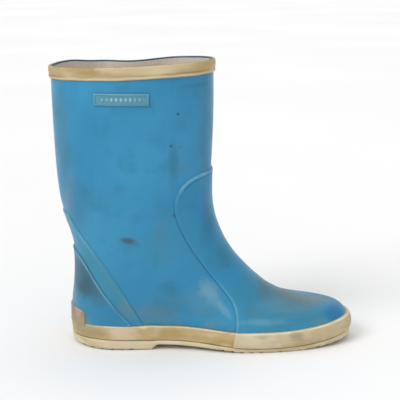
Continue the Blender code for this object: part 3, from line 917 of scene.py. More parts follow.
@dataclass
class LaidSheet:
    """A sheet of rubber laid on the upper above the foxing, with a rounded free edge."""

    name: str
    node: str
    last: Last
    outline: Outline
    inside: float
    thickness: float
    columns: int = 130
    rows: int = 120
    rounding: float = 2.1 * MM
    floor: float = -0.15 * MM
    bead: float = 0.18 * MM
    # By height: painted highlight on the rolled edge, painted shade at its foot and in the trough.
    pale_and_highlight: tuple[tuple[float, float], ...] = ((0.0, 0.6), (0.2, 0.6))
    foot: tuple[tuple[float, float], ...] = ((0.0, 0.6), (0.2, 0.6))
    trough: tuple[tuple[float, float], ...] = ((0.0, 0.0), (0.2, 0.0))
    reach: np.ndarray | None = None
    heights: np.ndarray | None = None

    def tint(self, across: np.ndarray, up: np.ndarray) -> np.ndarray:
        """Tint of each point: painted highlight and shade along the free edge, changing with
        height.

        Args:
            across: Shares of the way round or across, from 0 to 1; not used.
            up: Shares of the way along the profile or up, from 0 to 1; not used.

        Returns:
            The tint, above 0 a painted highlight and below 0 painted shade.
        """
        far = self.reach / self.rounding
        roll, low, behind = bell(far, 0.6, 0.62), bell(far, 0.0, 0.30), bell(far, 1.6, 0.45)
        pale, dark, dip = (
            np.interp(self.heights, *np.transpose(table))
            for table in (self.pale_and_highlight, self.foot, self.trough)
        )
        # Painted highlight on the roll, less painted shade at the foot and in the trough behind it.
        return np.clip(pale * roll - dark * low - dip * behind, -1, 1)

    def build(self, finish: bpy.types.Material, slot: str) -> bpy.types.Object:
        """Lays the sheet.

        Args:
            finish: Its material.
            slot: Not used.

        Returns:
            The sheet.
        """
        piece = lofted(self.name, self.columns, self.rows, self.place, INSIDE_HEEL, self.tint)
        piece.data.materials.append(finish)
        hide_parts(self.node)
        return piece

    def place(self, across: np.ndarray, up: np.ndarray) -> np.ndarray:
        """Points of the sheet, its height falling off near the free edge.

        Args:
            across: Shares of the way round or across, from 0 to 1.
            up: Shares of the way along the profile or up, from 0 to 1.

        Returns:
            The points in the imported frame.
        """
        top = self.outline.top_row(self.last)
        levels = TUCK_ROW + (top - TUCK_ROW) * np.sin(np.linspace(0, math.pi / 2, 900))
        inner = self.outline.turn(self.last, levels, Side.INNER)
        outer = self.outline.turn(self.last, levels, Side.OUTER)
        if not self.outline.front:
            outer = outer + 2 * math.pi
        corners = np.arange(2 * len(levels))
        fine = np.linspace(0, corners[-1], 8 * len(corners))
        edge = self.last.face(
            np.interp(fine, corners, np.concatenate([levels, levels[::-1]])),
            np.interp(fine, corners, np.concatenate([inner, outer[::-1]])),
        )
        tree = KDTree(len(edge))
        for index, point in enumerate(edge):
            tree.insert(point, index)
        tree.balance()
        row = TUCK_ROW + (top - TUCK_ROW) * np.sin(up * math.pi / 2)
        share = (crowded(across, 1.7) + 1) / 2
        first = np.interp(row, levels, outer)
        second = np.interp(row, levels, inner)
        angle = first + (second - first) * share
        bare = self.last.face(row, angle)
        self.reach = np.array([tree.find(point)[2] for point in bare])
        self.heights = bare[:, 2]
        swell = rounded(self.reach, self.rounding)
        offset = self.floor + (self.inside + self.thickness - self.floor) * swell
        ridge = bell(self.reach / self.rounding, 0.9, 0.7)
        return self.last.face(row, angle, offset + self.bead * ridge)


@dataclass
class RimStrip:
    """The strip rolled round the rim, with a groove above its lower lip."""

    last: Last
    thickness: float = 1.2 * MM

    def build(self, finish: bpy.types.Material) -> bpy.types.Object:
        """Rolls the strip on.

        Args:
            finish: Its material.

        Returns:
            The piece.
        """
        piece = lofted("collar_strip_rolled", 240, 60, self.place, tint=self.tint)
        piece.data.materials.append(finish)
        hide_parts("collar_strip")
        return piece

    def tint(self, across: np.ndarray, up: np.ndarray) -> np.ndarray:
        """Tint of each point: brown in the groove, pale on the lower lip.

        Args:
            across: Shares of the way round or across, from 0 to 1.
            up: Shares of the way along the profile or up, from 0 to 1.

        Returns:
            The tint, above 0 paler and below 0 darker.
        """
        step = up * 17
        stain = 0.65 + 0.35 * np.sin(across * 2 * math.pi * 3 + 4.2)
        groove = 0.85 * bell(step, 9.4, 1.1) * stain
        return 0.45 * bell(step, 11.8, 0.8) - groove - 0.9 * bell(step, 14.6, 0.8)

    def place(self, across: np.ndarray, up: np.ndarray) -> np.ndarray:
        """Points of the strip, swept round the rim.

        Args:
            across: Shares of the way round or across, from 0 to 1.
            up: Shares of the way along the profile or up, from 0 to 1.

        Returns:
            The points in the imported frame.
        """
        face = GAP + self.thickness
        profile = (
            (0.0, 0.1 * MM), (0.0, face * 0.35), (0.05, face * 0.6), (0.25, face * 0.85),
            (0.7, face), (2.5, face + 0.15 * MM), (4.4, face + 0.10 * MM), (5.4, face - 0.02 * MM),
            (6.0, face - 0.14 * MM), (6.6, face - 0.22 * MM), (7.1, face - 0.12 * MM),
            (7.7, face + 0.05 * MM), (8.6, face + 0.02 * MM), (9.2, face - 0.3 * MM),
            (9.6, face - 0.8 * MM), (9.7, 0.0), (6.0, 0.0), (0.0, 0.1 * MM),
        )
        drop, offset = traced(profile, up)
        drop *= MM
        spacing = self.last.columns[1][-1] - self.last.columns[1][-2]
        angle = across * 2 * math.pi
        wobble = 0.12 * MM * np.sin(angle * 7 + 1.0) + 0.08 * MM * np.sin(angle * 17)
        drop = drop + wobble * np.clip(drop / (4 * MM), 0, 1)
        return self.last.face(RIM_ROW - drop / spacing, angle, offset)


@dataclass
class SoleStrip:
    """A strip round the edge of the sole, all round or from ball to ball."""

    name: str
    node: str
    last: Last
    inside: float
    thickness: float
    start: float | None = None
    lean: float = 2.0 * MM
    soil: float = 1.0
    lump_at: float = 64.5 * MM
    lump_length: float = 5 * MM
    lump_height: float = 0.55 * MM

    def build(self, finish: bpy.types.Material) -> bpy.types.Object:
        """Presses the strip on.

        Args:
            finish: Its material.

        Returns:
            The piece.
        """
        inside = None if self.start is None else INSIDE_FOOT
        piece = lofted(self.name, 260, 48, self.place, inside, self.tint)
        piece.data.materials.append(finish)
        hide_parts(self.node)
        return piece

    def tint(self, across: np.ndarray, up: np.ndarray) -> np.ndarray:
        """Tint of each point: painted highlight on the top ledge, brown at the joint below.

        Args:
            across: Shares of the way round or across, from 0 to 1; not used.
            up: Shares of the way along the profile or up, from 0 to 1.

        Returns:
            The tint, above 0 paler and below 0 darker.
        """
        step = up * 12
        joint = 0.95 * bell(step, 10.6, 0.9) * self.soil
        # Painted highlight on the top ledge; soil at the joint below and where the strip meets the
        # upper.
        return 0.9 * bell(step, 3.7, 1.2) - joint - 0.5 * bell(step, 1.2, 0.6)

    def place(self, across: np.ndarray, up: np.ndarray) -> np.ndarray:
        """Points of the strip, from under the upper out and down to the sole.

        Args:
            across: Shares of the way round or across, from 0 to 1.
            up: Shares of the way along the profile or up, from 0 to 1.

        Returns:
            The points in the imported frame.
        """
        outside = self.inside + self.thickness
        profile = (
            (1.6, 0.0), (2.02, 0.0), (2.02, outside - 1.0 * MM), (2.00, outside - 0.5 * MM),
            (1.96, outside - 0.2 * MM), (1.86, outside), (1.4, outside + 0.1 * MM),
            (1.0, outside + 0.1 * MM), (0.5, outside), (0.12, outside), (0.03, outside - 0.2 * MM),
            (0.0, outside - 0.5 * MM), (0.0, 0.0),
        )
        row, offset = traced(profile, up)
        if self.start is None:
            angle = across * 2 * math.pi
            wander = np.sin(angle * 5 + 0.6) * 0.6 + np.sin(angle * 11 + 2.0) * 0.4
            row = row + 0.05 * wander * np.clip(row - 1.2, 0, 1)
            offset = offset + 0.10 * MM * wander * (offset > 0)
            outer = angle > math.pi
            lump = bell(self.last.raw(row, angle)[:, 0], self.lump_at, self.lump_length) * outer
            offset = offset + self.lump_height * lump * (offset > 0)
            row = row + 0.10 * lump * np.clip(row - 1.0, 0, 1)
            points = self.last.face(row, angle, offset, True)
        else:
            begin = self.start * SOLE_LENGTH + self.lean * 0.5 * row
            columns = self.last.columns
            back = spline(columns[0], row)
            front = spline(columns[2], row)
            reach = np.arccos(np.clip(2 * (begin - back) / (front - back) - 1, -1, 1))
            angle = crowded(across, 1.6) * reach
            bare = self.last.face(row, angle)
            ends = np.minimum(
                np.linalg.norm(bare - self.last.face(row, reach), axis=-1),
                np.linalg.norm(bare - self.last.face(row, -reach), axis=-1),
            )
            floor = self.inside - 0.4 * MM
            swollen = floor + (offset - floor) * rounded(ends, 1.2 * MM)
            offset = np.where(offset > floor, swollen, offset)
            points = self.last.face(row, angle, offset, True)
        foot = row < 0.3
        base = self.last.seat(points[:, 0]) + GAP
        points[:, 2] = np.where(foot, base + (points[:, 2] - base) * (row / 0.3), points[:, 2])
        return points


@dataclass
class Badge:
    """A blank moulded plate: a raised border round a field of small plain lozenges."""

    last: Last
    length: float = 41 * MM
    height: float = 9.4 * MM
    middle: float = 0.2012 * SOLE_LENGTH
    drop: float = 22.3 * MM
    thickness: float = 1.2 * MM
    studs: int = 9

    def build(self, finish: bpy.types.Material) -> bpy.types.Object:
        """Presses the plate on the outer side.

        Args:
            finish: Its material.

        Returns:
            The piece.
        """
        piece = lofted("badge_plate", 260, 70, self.place, INSIDE_LEG, self.tint)
        piece.data.materials.append(finish)
        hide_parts("badge")
        return piece

    def relief(self, across: np.ndarray, up: np.ndarray) -> tuple[np.ndarray, ...]:
        """Place on the plate, distance to its edge, and shares of border and lozenge.

        Args:
            across: Shares of the way round or across, from 0 to 1.
            up: Shares of the way along the profile or up, from 0 to 1.

        Returns:
            Place along and up the plate, distance to its edge, share of border and of lozenge.
        """
        x = (across - 0.5) * self.length
        z = (up - 0.5) * self.height
        edge = np.minimum(self.length / 2 - np.abs(x), self.height / 2 - np.abs(z))
        border = smooth_step(edge / (0.4 * MM)) * smooth_step((1.7 * MM - edge) / (0.5 * MM))
        pitch = (self.length - 10 * MM) / self.studs
        near = np.abs((x + pitch * self.studs / 2) % pitch - pitch / 2)
        lozenge = near / (pitch * 0.40) + np.abs(z) / (self.height * 0.24)
        stud = smooth_step((1.05 - lozenge) / 0.35) * (np.abs(x) < pitch * self.studs / 2)
        return x, z, edge, border, stud

    def tint(self, across: np.ndarray, up: np.ndarray) -> np.ndarray:
        """Tint of each point: pale raised work, painted shade at its foot.

        Args:
            across: Shares of the way round or across, from 0 to 1.
            up: Shares of the way along the profile or up, from 0 to 1.

        Returns:
            The tint, above 0 paler and below 0 darker.
        """
        _, z, edge, border, stud = self.relief(across, up)
        # Painted light from above: the border paler on its upper half and darker on its lower half.
        upper = 0.5 + 0.5 * np.clip(z / (self.height / 2), -1, 1)
        # Painted shade along the foot of the plate.
        foot = 0.8 * bell(edge, 0.0, 0.25 * MM)
        low = 0.45 * border * (1 - upper)
        return np.maximum(border * (0.1 + 0.4 * upper), stud * 0.9) - low - foot

    def place(self, across: np.ndarray, up: np.ndarray) -> np.ndarray:
        """Points of the plate, found on the last from their place in the side view.

        Args:
            across: Shares of the way round or across, from 0 to 1.
            up: Shares of the way along the profile or up, from 0 to 1.

        Returns:
            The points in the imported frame.
        """
        middle_z = ANKLE_HEIGHT + LEG_HEIGHT - self.drop
        x, z, edge, border, stud = self.relief(across, up)
        skirt = np.clip(edge / (0.35 * MM), 0, 1)
        relief = self.thickness * 0.35 + 0.65 * self.thickness * np.maximum(border, 0.75 * stud)
        offset = -0.1 * MM + (relief + GAP + 0.1 * MM) * skirt
        row = np.full_like(x, RIM_ROW - 1)
        angle = np.full_like(x, -math.pi / 2)
        columns = self.last.columns
        for _ in range(8):
            back, front = spline(columns[0], row), spline(columns[2], row)
            angle = -np.arccos(np.clip(2 * (self.middle + x - back) / (front - back) - 1, -1, 1))
            height = self.last.raw(row, angle)[:, 2]
            row = row + (middle_z + z - height) / (columns[1][-1] - columns[1][-2])
        return self.last.face(row, angle, offset)


@dataclass
class Outsole:
    """The moulded sole: heel, arch, ball and toe spring, grooved across."""

    last: Last
    edge: float = 3.1 * MM
    flare: float = 0.9 * MM
    heel_lift: float = 4.1 * MM
    heel_back_lift: float = 3.6 * MM
    toe_spring: float = 4.6 * MM
    pitch: float = 7.5 * MM
    groove: float = 2.6 * MM
    depth: float = 1.0 * MM
    tooth: float = 0.45 * MM
    heel_back_at: float = 0.140
    breast_at: float = 0.285
    arch_at: float = 0.315
    ball_at: float = 0.610
    toe_at: float = 0.790
    treads: tuple[tuple[float, float], ...] = ((0.055, 0.255), (0.535, 0.985))

    def underside(self, share: np.ndarray) -> np.ndarray:
        """Height of the underside at shares of the length.

        Args:
            share: Shares of the length.

        Returns:
            The heights above the lowest point.
        """
        back = self.heel_back_lift * np.clip(1 - share / self.heel_back_at, 0, 1) ** 2
        step = (share - self.breast_at) / (self.arch_at - self.breast_at)
        sweep = np.clip((share - self.arch_at) / (self.ball_at - self.arch_at), 0, 1)
        lift = np.where(share < self.arch_at, smooth_step(step), 1 - sweep**1.8)
        toe = self.toe_spring * np.clip((share - self.toe_at) / (1 - self.toe_at), 0, 1) ** 1.6
        return back + self.heel_lift * lift + toe

    def build(self, finish: bpy.types.Material) -> bpy.types.Object:
        """Moulds the sole and cuts its grooves.

        Args:
            finish: Its material.

        Returns:
            The sole.
        """
        piece = lofted("sole_moulding", 900, 36, self.place, tint=self.tint)
        piece.data.materials.append(finish)
        cutter = self.grooves()
        modifier = piece.modifiers.new("tread", "BOOLEAN")
        modifier.operation = "DIFFERENCE"
        modifier.solver = "EXACT"
        modifier.object = cutter
        bpy.context.view_layer.update()
        depsgraph = bpy.context.evaluated_depsgraph_get()
        made = bpy.data.meshes.new_from_object(piece.evaluated_get(depsgraph))
        piece.modifiers.clear()
        piece.data = made
        bpy.data.objects.remove(cutter, do_unlink=True)
        for polygon in made.polygons:
            polygon.use_smooth = True
        made.set_sharp_from_angle(angle=math.radians(38))
        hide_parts("outsole")
        return piece

    def place(self, across: np.ndarray, up: np.ndarray) -> np.ndarray:
        """Points of the sole: out over its top, down its side and in under it.

        Args:
            across: Shares of the way round or across, from 0 to 1.
            up: Shares of the way along the profile or up, from 0 to 1.

        Returns:
            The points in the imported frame.
        """
        profile = (
            (0.0, 1), (0.5, 1), (0.8, 1), (1.0, 1), (1.08, 0.93), (1.10, 0.78), (1.098, 0.5),
            (1.085, 0.24), (1.05, 0.07), (0.97, 0.0), (0.8, 0), (0.5, 0), (0.0, 0),
        )
        reach, level = traced(profile, up)
        angle = across * 2 * math.pi
        share = (1 + np.cos(angle)) / 2
        margin = self.edge + self.flare * (share - 0.5)
        flat = np.zeros_like(angle)
        out = np.clip((reach - 0.9) / 0.2, 0, 1)
        teeth = np.sin(np.abs(angle - math.pi) * 210) * bell(level, 0.16, 0.16)
        teeth = self.tooth * teeth * smooth_step((share - 0.5) / 0.2) * (reach > 0.95)
        rim = self.last.face(flat, angle, margin * out + teeth, True)
        opposite = self.last.face(flat, -angle, margin * out + teeth, True)
        spine = (rim[:, 1] + opposite[:, 1]) / 2
        points = rim.copy()
        inward = np.clip(reach / 0.9, 0, 1)
        points[:, 1] = spine + (rim[:, 1] - spine) * inward
        top = self.last.seat(points[:, 0])
        x_share = np.clip((points[:, 0] - self.last.shift.x) / SOLE_LENGTH, 0, 1)
        bottom = self.underside(x_share) + self.last.shift.z
        points[:, 2] = bottom + (top - bottom) * level
        return points

    def tint(self, across: np.ndarray, up: np.ndarray) -> np.ndarray:
        """Soil on each point: on the underside and along the joint above.

        Args:
            across: Shares of the way round or across, from 0 to 1; not used.
            up: Shares of the way along the profile or up, from 0 to 1.

        Returns:
            The tint, above 0 paler and below 0 darker.
        """
        step = up * 12
        under = 0.55 * smooth_step((step - 8.2) / 1.4)
        return -np.maximum(under, 0.8 * bell(step, 3.4, 0.8))

    def grooves(self) -> bpy.types.Object:
        """Makes the cutter of the cross grooves, heel and forefoot.

        Returns:
            The cutter.
        """
        bm = bmesh.new()
        for start, end in self.treads:
            x = start * SOLE_LENGTH
            while x < end * SOLE_LENGTH:
                base = float(self.underside(np.array([x / SOLE_LENGTH]))[0]) + self.last.shift.z
                made = bmesh.ops.create_cube(bm, size=1.0)["verts"]
                bmesh.ops.scale(bm, verts=made, vec=(self.groove, BALL_WIDTH * 1.6, 2 * self.depth))
                bmesh.ops.translate(bm, verts=made, vec=(x + self.last.shift.x, 0, base))
                x += self.pitch
        mesh = bpy.data.meshes.new("tread_grooves")
        bm.to_mesh(mesh)
        bm.free()
        cutter = bpy.data.objects.new("tread_grooves", mesh)
        bpy.context.scene.collection.objects.link(cutter)
        return cutter


@dataclass
class Insole:
    """The sock inside, a little dished by the foot."""

    last: Last
    thickness: float = 3.0 * MM
    ease: float = 1.2 * MM

    def build(self, finish: bpy.types.Material) -> bpy.types.Object:
        """Lays the sock.

        Args:
            finish: Its material.

        Returns:
            The piece.
        """
        piece = lofted("insole_sock", 160, 28, self.place)
        piece.data.materials.append(finish)
        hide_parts("insole")
        return piece

    def place(self, across: np.ndarray, up: np.ndarray) -> np.ndarray:
        """Points of the sock: over its top, round its edge and in under it.

        Args:
            across: Shares of the way round or across, from 0 to 1.
            up: Shares of the way along the profile or up, from 0 to 1.

        Returns:
            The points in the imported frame.
        """
        profile = (
            (0.0, 1), (0.6, 1), (0.93, 1), (0.985, 0.9), (1.0, 0.6), (1.0, 0.1), (0.9, 0), (0.0, 0),
        )
        reach, level = traced(profile, up)
        angle = across * 2 * math.pi
        flat = np.zeros_like(angle)
        rim = self.last.face(flat, angle, -(WALL + self.ease), True)
        opposite = self.last.face(flat, -angle, -(WALL + self.ease), True)
        spine = (rim[:, 1] + opposite[:, 1]) / 2
        points = rim.copy()
        points[:, 1] = spine + (rim[:, 1] - spine) * reach
        points[:, 2] = self.last.seat(points[:, 0]) + GAP + self.thickness * level
        return points


@dataclass
class Stage:
    """The pale floor, the soft lights and the camera."""

    distance: float = 850 * MM
    eye: float = 291.7 * MM
    aim: float = 112.7 * MM
    aside: float = -2.9 * MM
    lens: float = 99.5
    sky: float = 0.70

    def build(self) -> None:
        """Sets the camera, the floor, the lights and the world."""
        scene = bpy.context.scene
        camera = bpy.data.objects.new("camera", bpy.data.cameras.new("camera"))
        camera.data.lens = self.lens
        camera.data.sensor_width = 36
        camera.location = (self.aside, -self.distance, self.eye)
        target = Vector((self.aside, 0, self.aim))
        camera.rotation_euler = (target - camera.location).to_track_quat("-Z", "Y").to_euler()
        scene.collection.objects.link(camera)
        scene.camera = camera
        bm = bmesh.new()
        bmesh.ops.create_grid(bm, x_segments=1, y_segments=1, size=40)
        mesh = bpy.data.meshes.new("studio_floor")
        bm.to_mesh(mesh)
        bm.free()
        floor = bpy.data.objects.new("studio_floor", mesh)
        scene.collection.objects.link(floor)
        g = Graph("matt_white_floor_paper")
        shade = g.add(Kind.SPAN, g.blobs(400 * MM, 1.0), 0.2, 0.8, 0.86, 0.90)
        tone = g.add(Kind.GREY, shade, shade, shade)
        mesh.materials.append(g.finish(Base_Color=tone, Roughness=0.95, Specular_IOR_Level=0.1))
        world = bpy.data.worlds.new("studio")
        world.use_nodes = True
        background = world.node_tree.nodes["Background"]
        background.inputs["Color"].default_value = linear("#FFFFFF")
        background.inputs["Strength"].default_value = self.sky
        scene.world = world
        scene.view_settings.view_transform = "Standard"
        self.sun("key", (-0.80, -0.70, 0.90), 30, 1.35)
        self.sun("fill", (0.8, -0.9, 0.35), 60, 0.15)
        self.sun("top", (0.0, 0.25, 1.0), 50, 0.45)

    def sun(
        self, name: str, towards: tuple[float, float, float], spread: float, power: float,
    ) -> None:
        """Hangs a far soft light.

        Args:
            name: Its name.
            towards: The direction in which it lies from the boot.
            spread: Its width in degrees.
            power: Its strength.
        """
        light = bpy.data.lights.new(name, "SUN")
        light.energy = power
        light.angle = math.radians(spread)
        lamp = bpy.data.objects.new(name, light)
        lamp.location = towards
        lamp.rotation_euler = Vector(towards).to_track_quat("Z", "Y").to_euler()
        bpy.context.scene.collection.objects.link(lamp)


VAMP = Outline((
    (0.577, 0.050), (0.580, 0.240), (0.577, 0.310), (0.565, 0.380), (0.542, 0.455),
    (0.512, 0.540), (0.474, 0.650), (0.437, 0.770), (0.406, 0.890), (0.384, 1.000),
    (0.372, 1.090), (0.371, 1.180), (0.384, 1.255), (0.405, 1.320), (0.435, 1.366),
    (0.468, 1.390), (0.510, 1.400), (0.580, 1.405),
), True)
STAY = Outline((
    (0.275, 0.150), (0.235, 0.310), (0.190, 0.480), (0.140, 0.650), (0.090, 0.795),
    (0.050, 0.905), (0.025, 0.985), (0.000, 1.060), (-0.060, 1.090),
), False)
COUNTER = Outline((
    (0.252, 0.110), (0.229, 0.185), (0.185, 0.300), (0.142, 0.420), (0.105, 0.545),
    (0.070, 0.665), (0.038, 0.745), (0.010, 0.790), (-0.060, 0.800),
), False)
TAB = Outline((
    (0.0665, 0.0), (0.0665, 0.100), (0.0665, 0.200), (0.0668, 0.276), (0.0610, 0.289),
    (0.0400, 0.303), (-0.060, 0.322),
), False)


CREASES = (
    Crease((-0.020, 0.128), (-0.060, 0.110), 0.35 * MM, 6 * MM),
    Crease((-0.100, 0.104), (-0.060, 0.086), 0.40 * MM, 5 * MM),
    Crease((-0.046, 0.098), (-0.010, 0.086), -0.30 * MM, 7 * MM),
    Crease((0.012, 0.070), (-0.012, 0.040), 0.30 * MM, 6 * MM),
    Crease((0.052, 0.044), (0.036, 0.026), 0.35 * MM, 5 * MM),
    Crease((0.066, 0.040), (0.056, 0.024), -0.25 * MM, 5 * MM),
    Crease((-0.062, 0.205), (-0.070, 0.140), -0.35 * MM, 11 * MM),
    Crease((-0.022, 0.200), (-0.026, 0.130), 0.35 * MM, 9 * MM),
    Crease((-0.010, 0.122), (-0.070, 0.104), 0.45 * MM, 6 * MM, Side.INNER),
    Crease((-0.100, 0.096), (-0.055, 0.088), 0.40 * MM, 5 * MM, Side.INNER),
    Crease((0.054, 0.046), (0.030, 0.028), 0.40 * MM, 5 * MM, Side.INNER),
    Crease((0.016, 0.076), (-0.014, 0.052), -0.30 * MM, 7 * MM, Side.INNER),
)

WALL_MARKS = (
    Mark((-58.2, -34, 88.2), (7, 20, 2.9), "#3A454E", 0.78, 6, 3),
    Mark((-52, -34, 85.5), (4.5, 20, 1.8), "#41606E", 0.35, 22, 3),
    Mark((-19.2, -36, 185.4), (1.2, 9, 1.2), "#0F3A4C", 0.85, 0, 2, 0.3),
    Mark((-24.5, -37, 161.5), (1.6, 9, 1.3), "#123F52", 0.65, 0, 2, 0.3),
    Mark((-17.8, -35, 160.4), (1.3, 9, 1.3), "#56666B", 0.7, 0, 2, 0.3),
    Mark((-22.6, -36, 148), (4.2, 20, 17), "#245C72", 0.41, 0, 5),
    Mark((-15, -36, 144), (6, 20, 6), "#4E7C8C", 0.29, 0, 5),
    Mark((-22.6, -36, 108), (1.3, 20, 1.5), "#1B4E63", 0.6, 0, 2),
    Mark((-62, -38, 130), (6, 20, 4), "#265F76", 0.21, 0, 4),
    Mark((-51.9, -36, 106.5), (5, 20, 4), "#2A6278", 0.19, 0, 4),
    Mark((-32, -36, 95), (8, 20, 12), "#4A7484", 0.29, 15, 5),
    Mark((-5, -25, 206), (14, 20, 2.4), "#245F79", 0.35, -4, 5),
    Mark((-107.2, -20, 165), (7, 24, 42), "#3D7083", 0.41, 0, 9),
    Mark((-104, -12, 115), (7, 24, 34), "#6E8088", 0.43, 12, 9),
    Mark((-96, -24, 112), (10, 22, 24), "#23647F", 0.34, 10, 8),
    # Painted shade down the front edge of the leg.
    Mark((4, -22, 165), (9, 22, 60), "#17566F", 0.34, 0, 12, 1.5),
    Mark((3.3, -32, 49), (8, 20, 9), "#93B6C2", 0.24, -35, 4, 1.4),
    Mark((6, -33, 42.5), (6, 20, 14), "#7FA9B8", 0.26, -38, 4, 1.5),
    Mark((16, -34, 33), (2.6, 20, 10), "#76A2B2", 0.35, -40, 3, 1.6),
    Mark((-2.1, -33, 47.3), (2, 20, 1.6), "#7C7B74", 0.46, 0, 2),
    Mark((0, -33, 42), (16, 20, 16), "#4F8799", 0.35, 0, 7),
    Mark((-26.7, -33, 50), (9, 20, 7), "#285D72", 0.32, 0, 6),
    Mark((-41, -30, 28.5), (20, 20, 8.5), "#587B80", 0.46, -4, 6, 1.4),
    Mark((-25, -31, 38), (18, 20, 9), "#42717F", 0.35, -20, 7),
    Mark((-70, 36, 100), (9, 20, 4), "#41565F", 0.41, 20, 4),
    Mark((-30, 40, 150), (5, 20, 20), "#265F76", 0.19, 0, 5),
    Mark((-10, 40, 44), (18, 20, 13), "#5F7C80", 0.35, 0, 6),
    Mark((5, 34, 60), (5, 20, 12), "#8CB0BC", 0.35, -30, 3, 1.6),
    Mark((-55, 36, 30), (18, 20, 8), "#6B7472", 0.41, 0, 6),
)
VAMP_MARKS = (
    # Painted shade down the front of the ankle, near its outline.
    Mark((6, -24, 110), (8, 16, 34), "#15536C", 0.34, 6, 9, 1.5),
    Mark((14.5, -18, 73), (7, 18, 14), "#22606F", 0.32, -40, 6),
    Mark((47.4, -13, 44), (7, 30, 9), "#456A6C", 0.46, 20, 5),
    Mark((76, -8, 37), (19, 30, 6), "#4C6063", 0.82, 12, 6, 1.4),
    Mark((58, -6, 42), (26, 32, 8), "#4C686B", 0.46, 20, 7, 1.5),
    Mark((90, -4, 34.5), (20, 28, 4.5), "#86887E", 0.46, 8, 5, 1.6),
    Mark((60, -15, 35), (26, 30, 7), "#567074", 0.35, 10, 6),
    Mark((40, -22, 30), (14, 24, 5), "#3E6E76", 0.35, 8, 5),
    Mark((72, -30, 22.5), (26, 20, 3), "#1C6C9C", 0.29, -6, 6),
    Mark((103, -10, 24), (11, 26, 7), "#12659A", 0.70, 20, 7),
    # Painted highlight: a pale band low on the vamp, just above the foxing.
    Mark((44, -36, 23.8), (25, 20, 2.8), "#6FA3B4", 0.32, 2, 5),
    Mark((70, -30, 29), (34, 20, 9), "#3A7383", 0.40, 6, 8),
    Mark((33, -30, 45), (12, 20, 16), "#2A7486", 0.35, 30, 8),
    Mark((-16, -33, 106.5), (1.5, 12, 1.2), "#5B6A70", 0.7, 0, 2),
    Mark((-22.6, -33, 107.4), (1.1, 12, 1.3), "#174557", 0.6, 0, 2),
    Mark((60, 36, 30), (26, 20, 7), "#6C8083", 0.38, 8, 6),
    Mark((25, 30, 56), (8, 20, 12), "#84AAB6", 0.29, -35, 3, 1.6),
)
STAY_MARKS = (
    Mark((-72, -31, 56), (9, 20, 22), "#3F7C8C", 0.40, -33, 6),
    Mark((-59, -31, 33), (10, 20, 9), "#5C7B80", 0.46, -25, 5),
    Mark((-88, -28, 80), (7, 20, 10), "#3F7C8E", 0.29, -30, 5),
    Mark((-75, 30, 56), (10, 20, 20), "#5A7C84", 0.38, -30, 6),
)
COUNTER_MARKS = (
    Mark((-94, -4, 59), (15, 44, 19), "#2C4A52", 0.62, -10, 9, 1.3),
    Mark((-91.5, -22, 48), (11, 26, 9), "#2A4850", 0.58, -10, 6, 1.1),
    Mark((-85, -26, 58), (11, 24, 17), "#2E5560", 0.60, -25, 7, 1.1),
    Mark((-78, -28, 43), (10, 24, 9), "#33626F", 0.46, -25, 6, 1.1),
    Mark((-88, 26, 44), (14, 20, 9), "#4C646B", 0.30, 0, 6),
    Mark((-104, -6, 64), (3, 34, 30), "#6F8494", 0.30, -3, 7, 1.6),
)
FOXING_MARKS = (
    Mark((-63, -32, 14), (13, 14, 9), "#CDBB9E", 0.90, 0, 4),
    Mark((-92, -24, 14), (15, 20, 12), "#9C8C6A", 0.75, 0, 6),
    Mark((-26, -32, 13.5), (13, 14, 7), "#A58A54", 0.70, 0, 4),
    Mark((-43, -32, 15), (6, 14, 7), "#B59F6C", 0.80, 0, 3),
    Mark((-1, -34, 11), (14, 14, 3), "#A8926A", 0.60, 0, 5),
    Mark((-47, -32, 18.5), (3, 14, 1.6), "#D8C9A8", 0.60, 0, 3),
)
TOE_MARKS = (
    Mark((40, -39, 12.5), (18, 16, 9), "#CFC4AA", 0.80, 0, 5),
    Mark((45, -39, 14), (7, 16, 3), "#A1957C", 0.60, 0, 4),
    Mark((71.3, -35, 12.5), (7, 14, 3.4), "#8F8268", 0.65, 0, 3, 1.6),
    Mark((90, -26, 14), (14, 16, 7), "#B7A57C", 0.65, -10, 5),
    Mark((115, 0, 18), (8, 20, 7), "#B1A786", 0.65, 0, 5),
)
SOLE_MARKS = (
    Mark((-64, -30, 0), (26, 16, 1.6), "#5B7371", 0.70, 0, 3, 1.4),
    Mark((-90, -26, 5), (16, 18, 3), "#B39E74", 0.55, 12, 4),
    Mark((50, -36, 3), (30, 16, 3), "#A99C80", 0.45, 0, 4),
    Mark((105, -20, 10), (16, 20, 3), "#D9D2BE", 0.60, -12, 4),
)
COLLAR_MARKS = (
    Mark((-110, -12, 212), (12, 22, 9), "#A1875A", 0.75, 0, 5),
    Mark((-2, -20, 218), (12, 22, 9), "#AC9059", 0.75, 0, 5),
    Mark((-64, -40, 214), (16, 14, 2.4), "#A48B62", 0.50, 0, 4),
    Mark((-30, -40, 218), (12, 14, 5), "#CDBB94", 0.60, 0, 5),
)


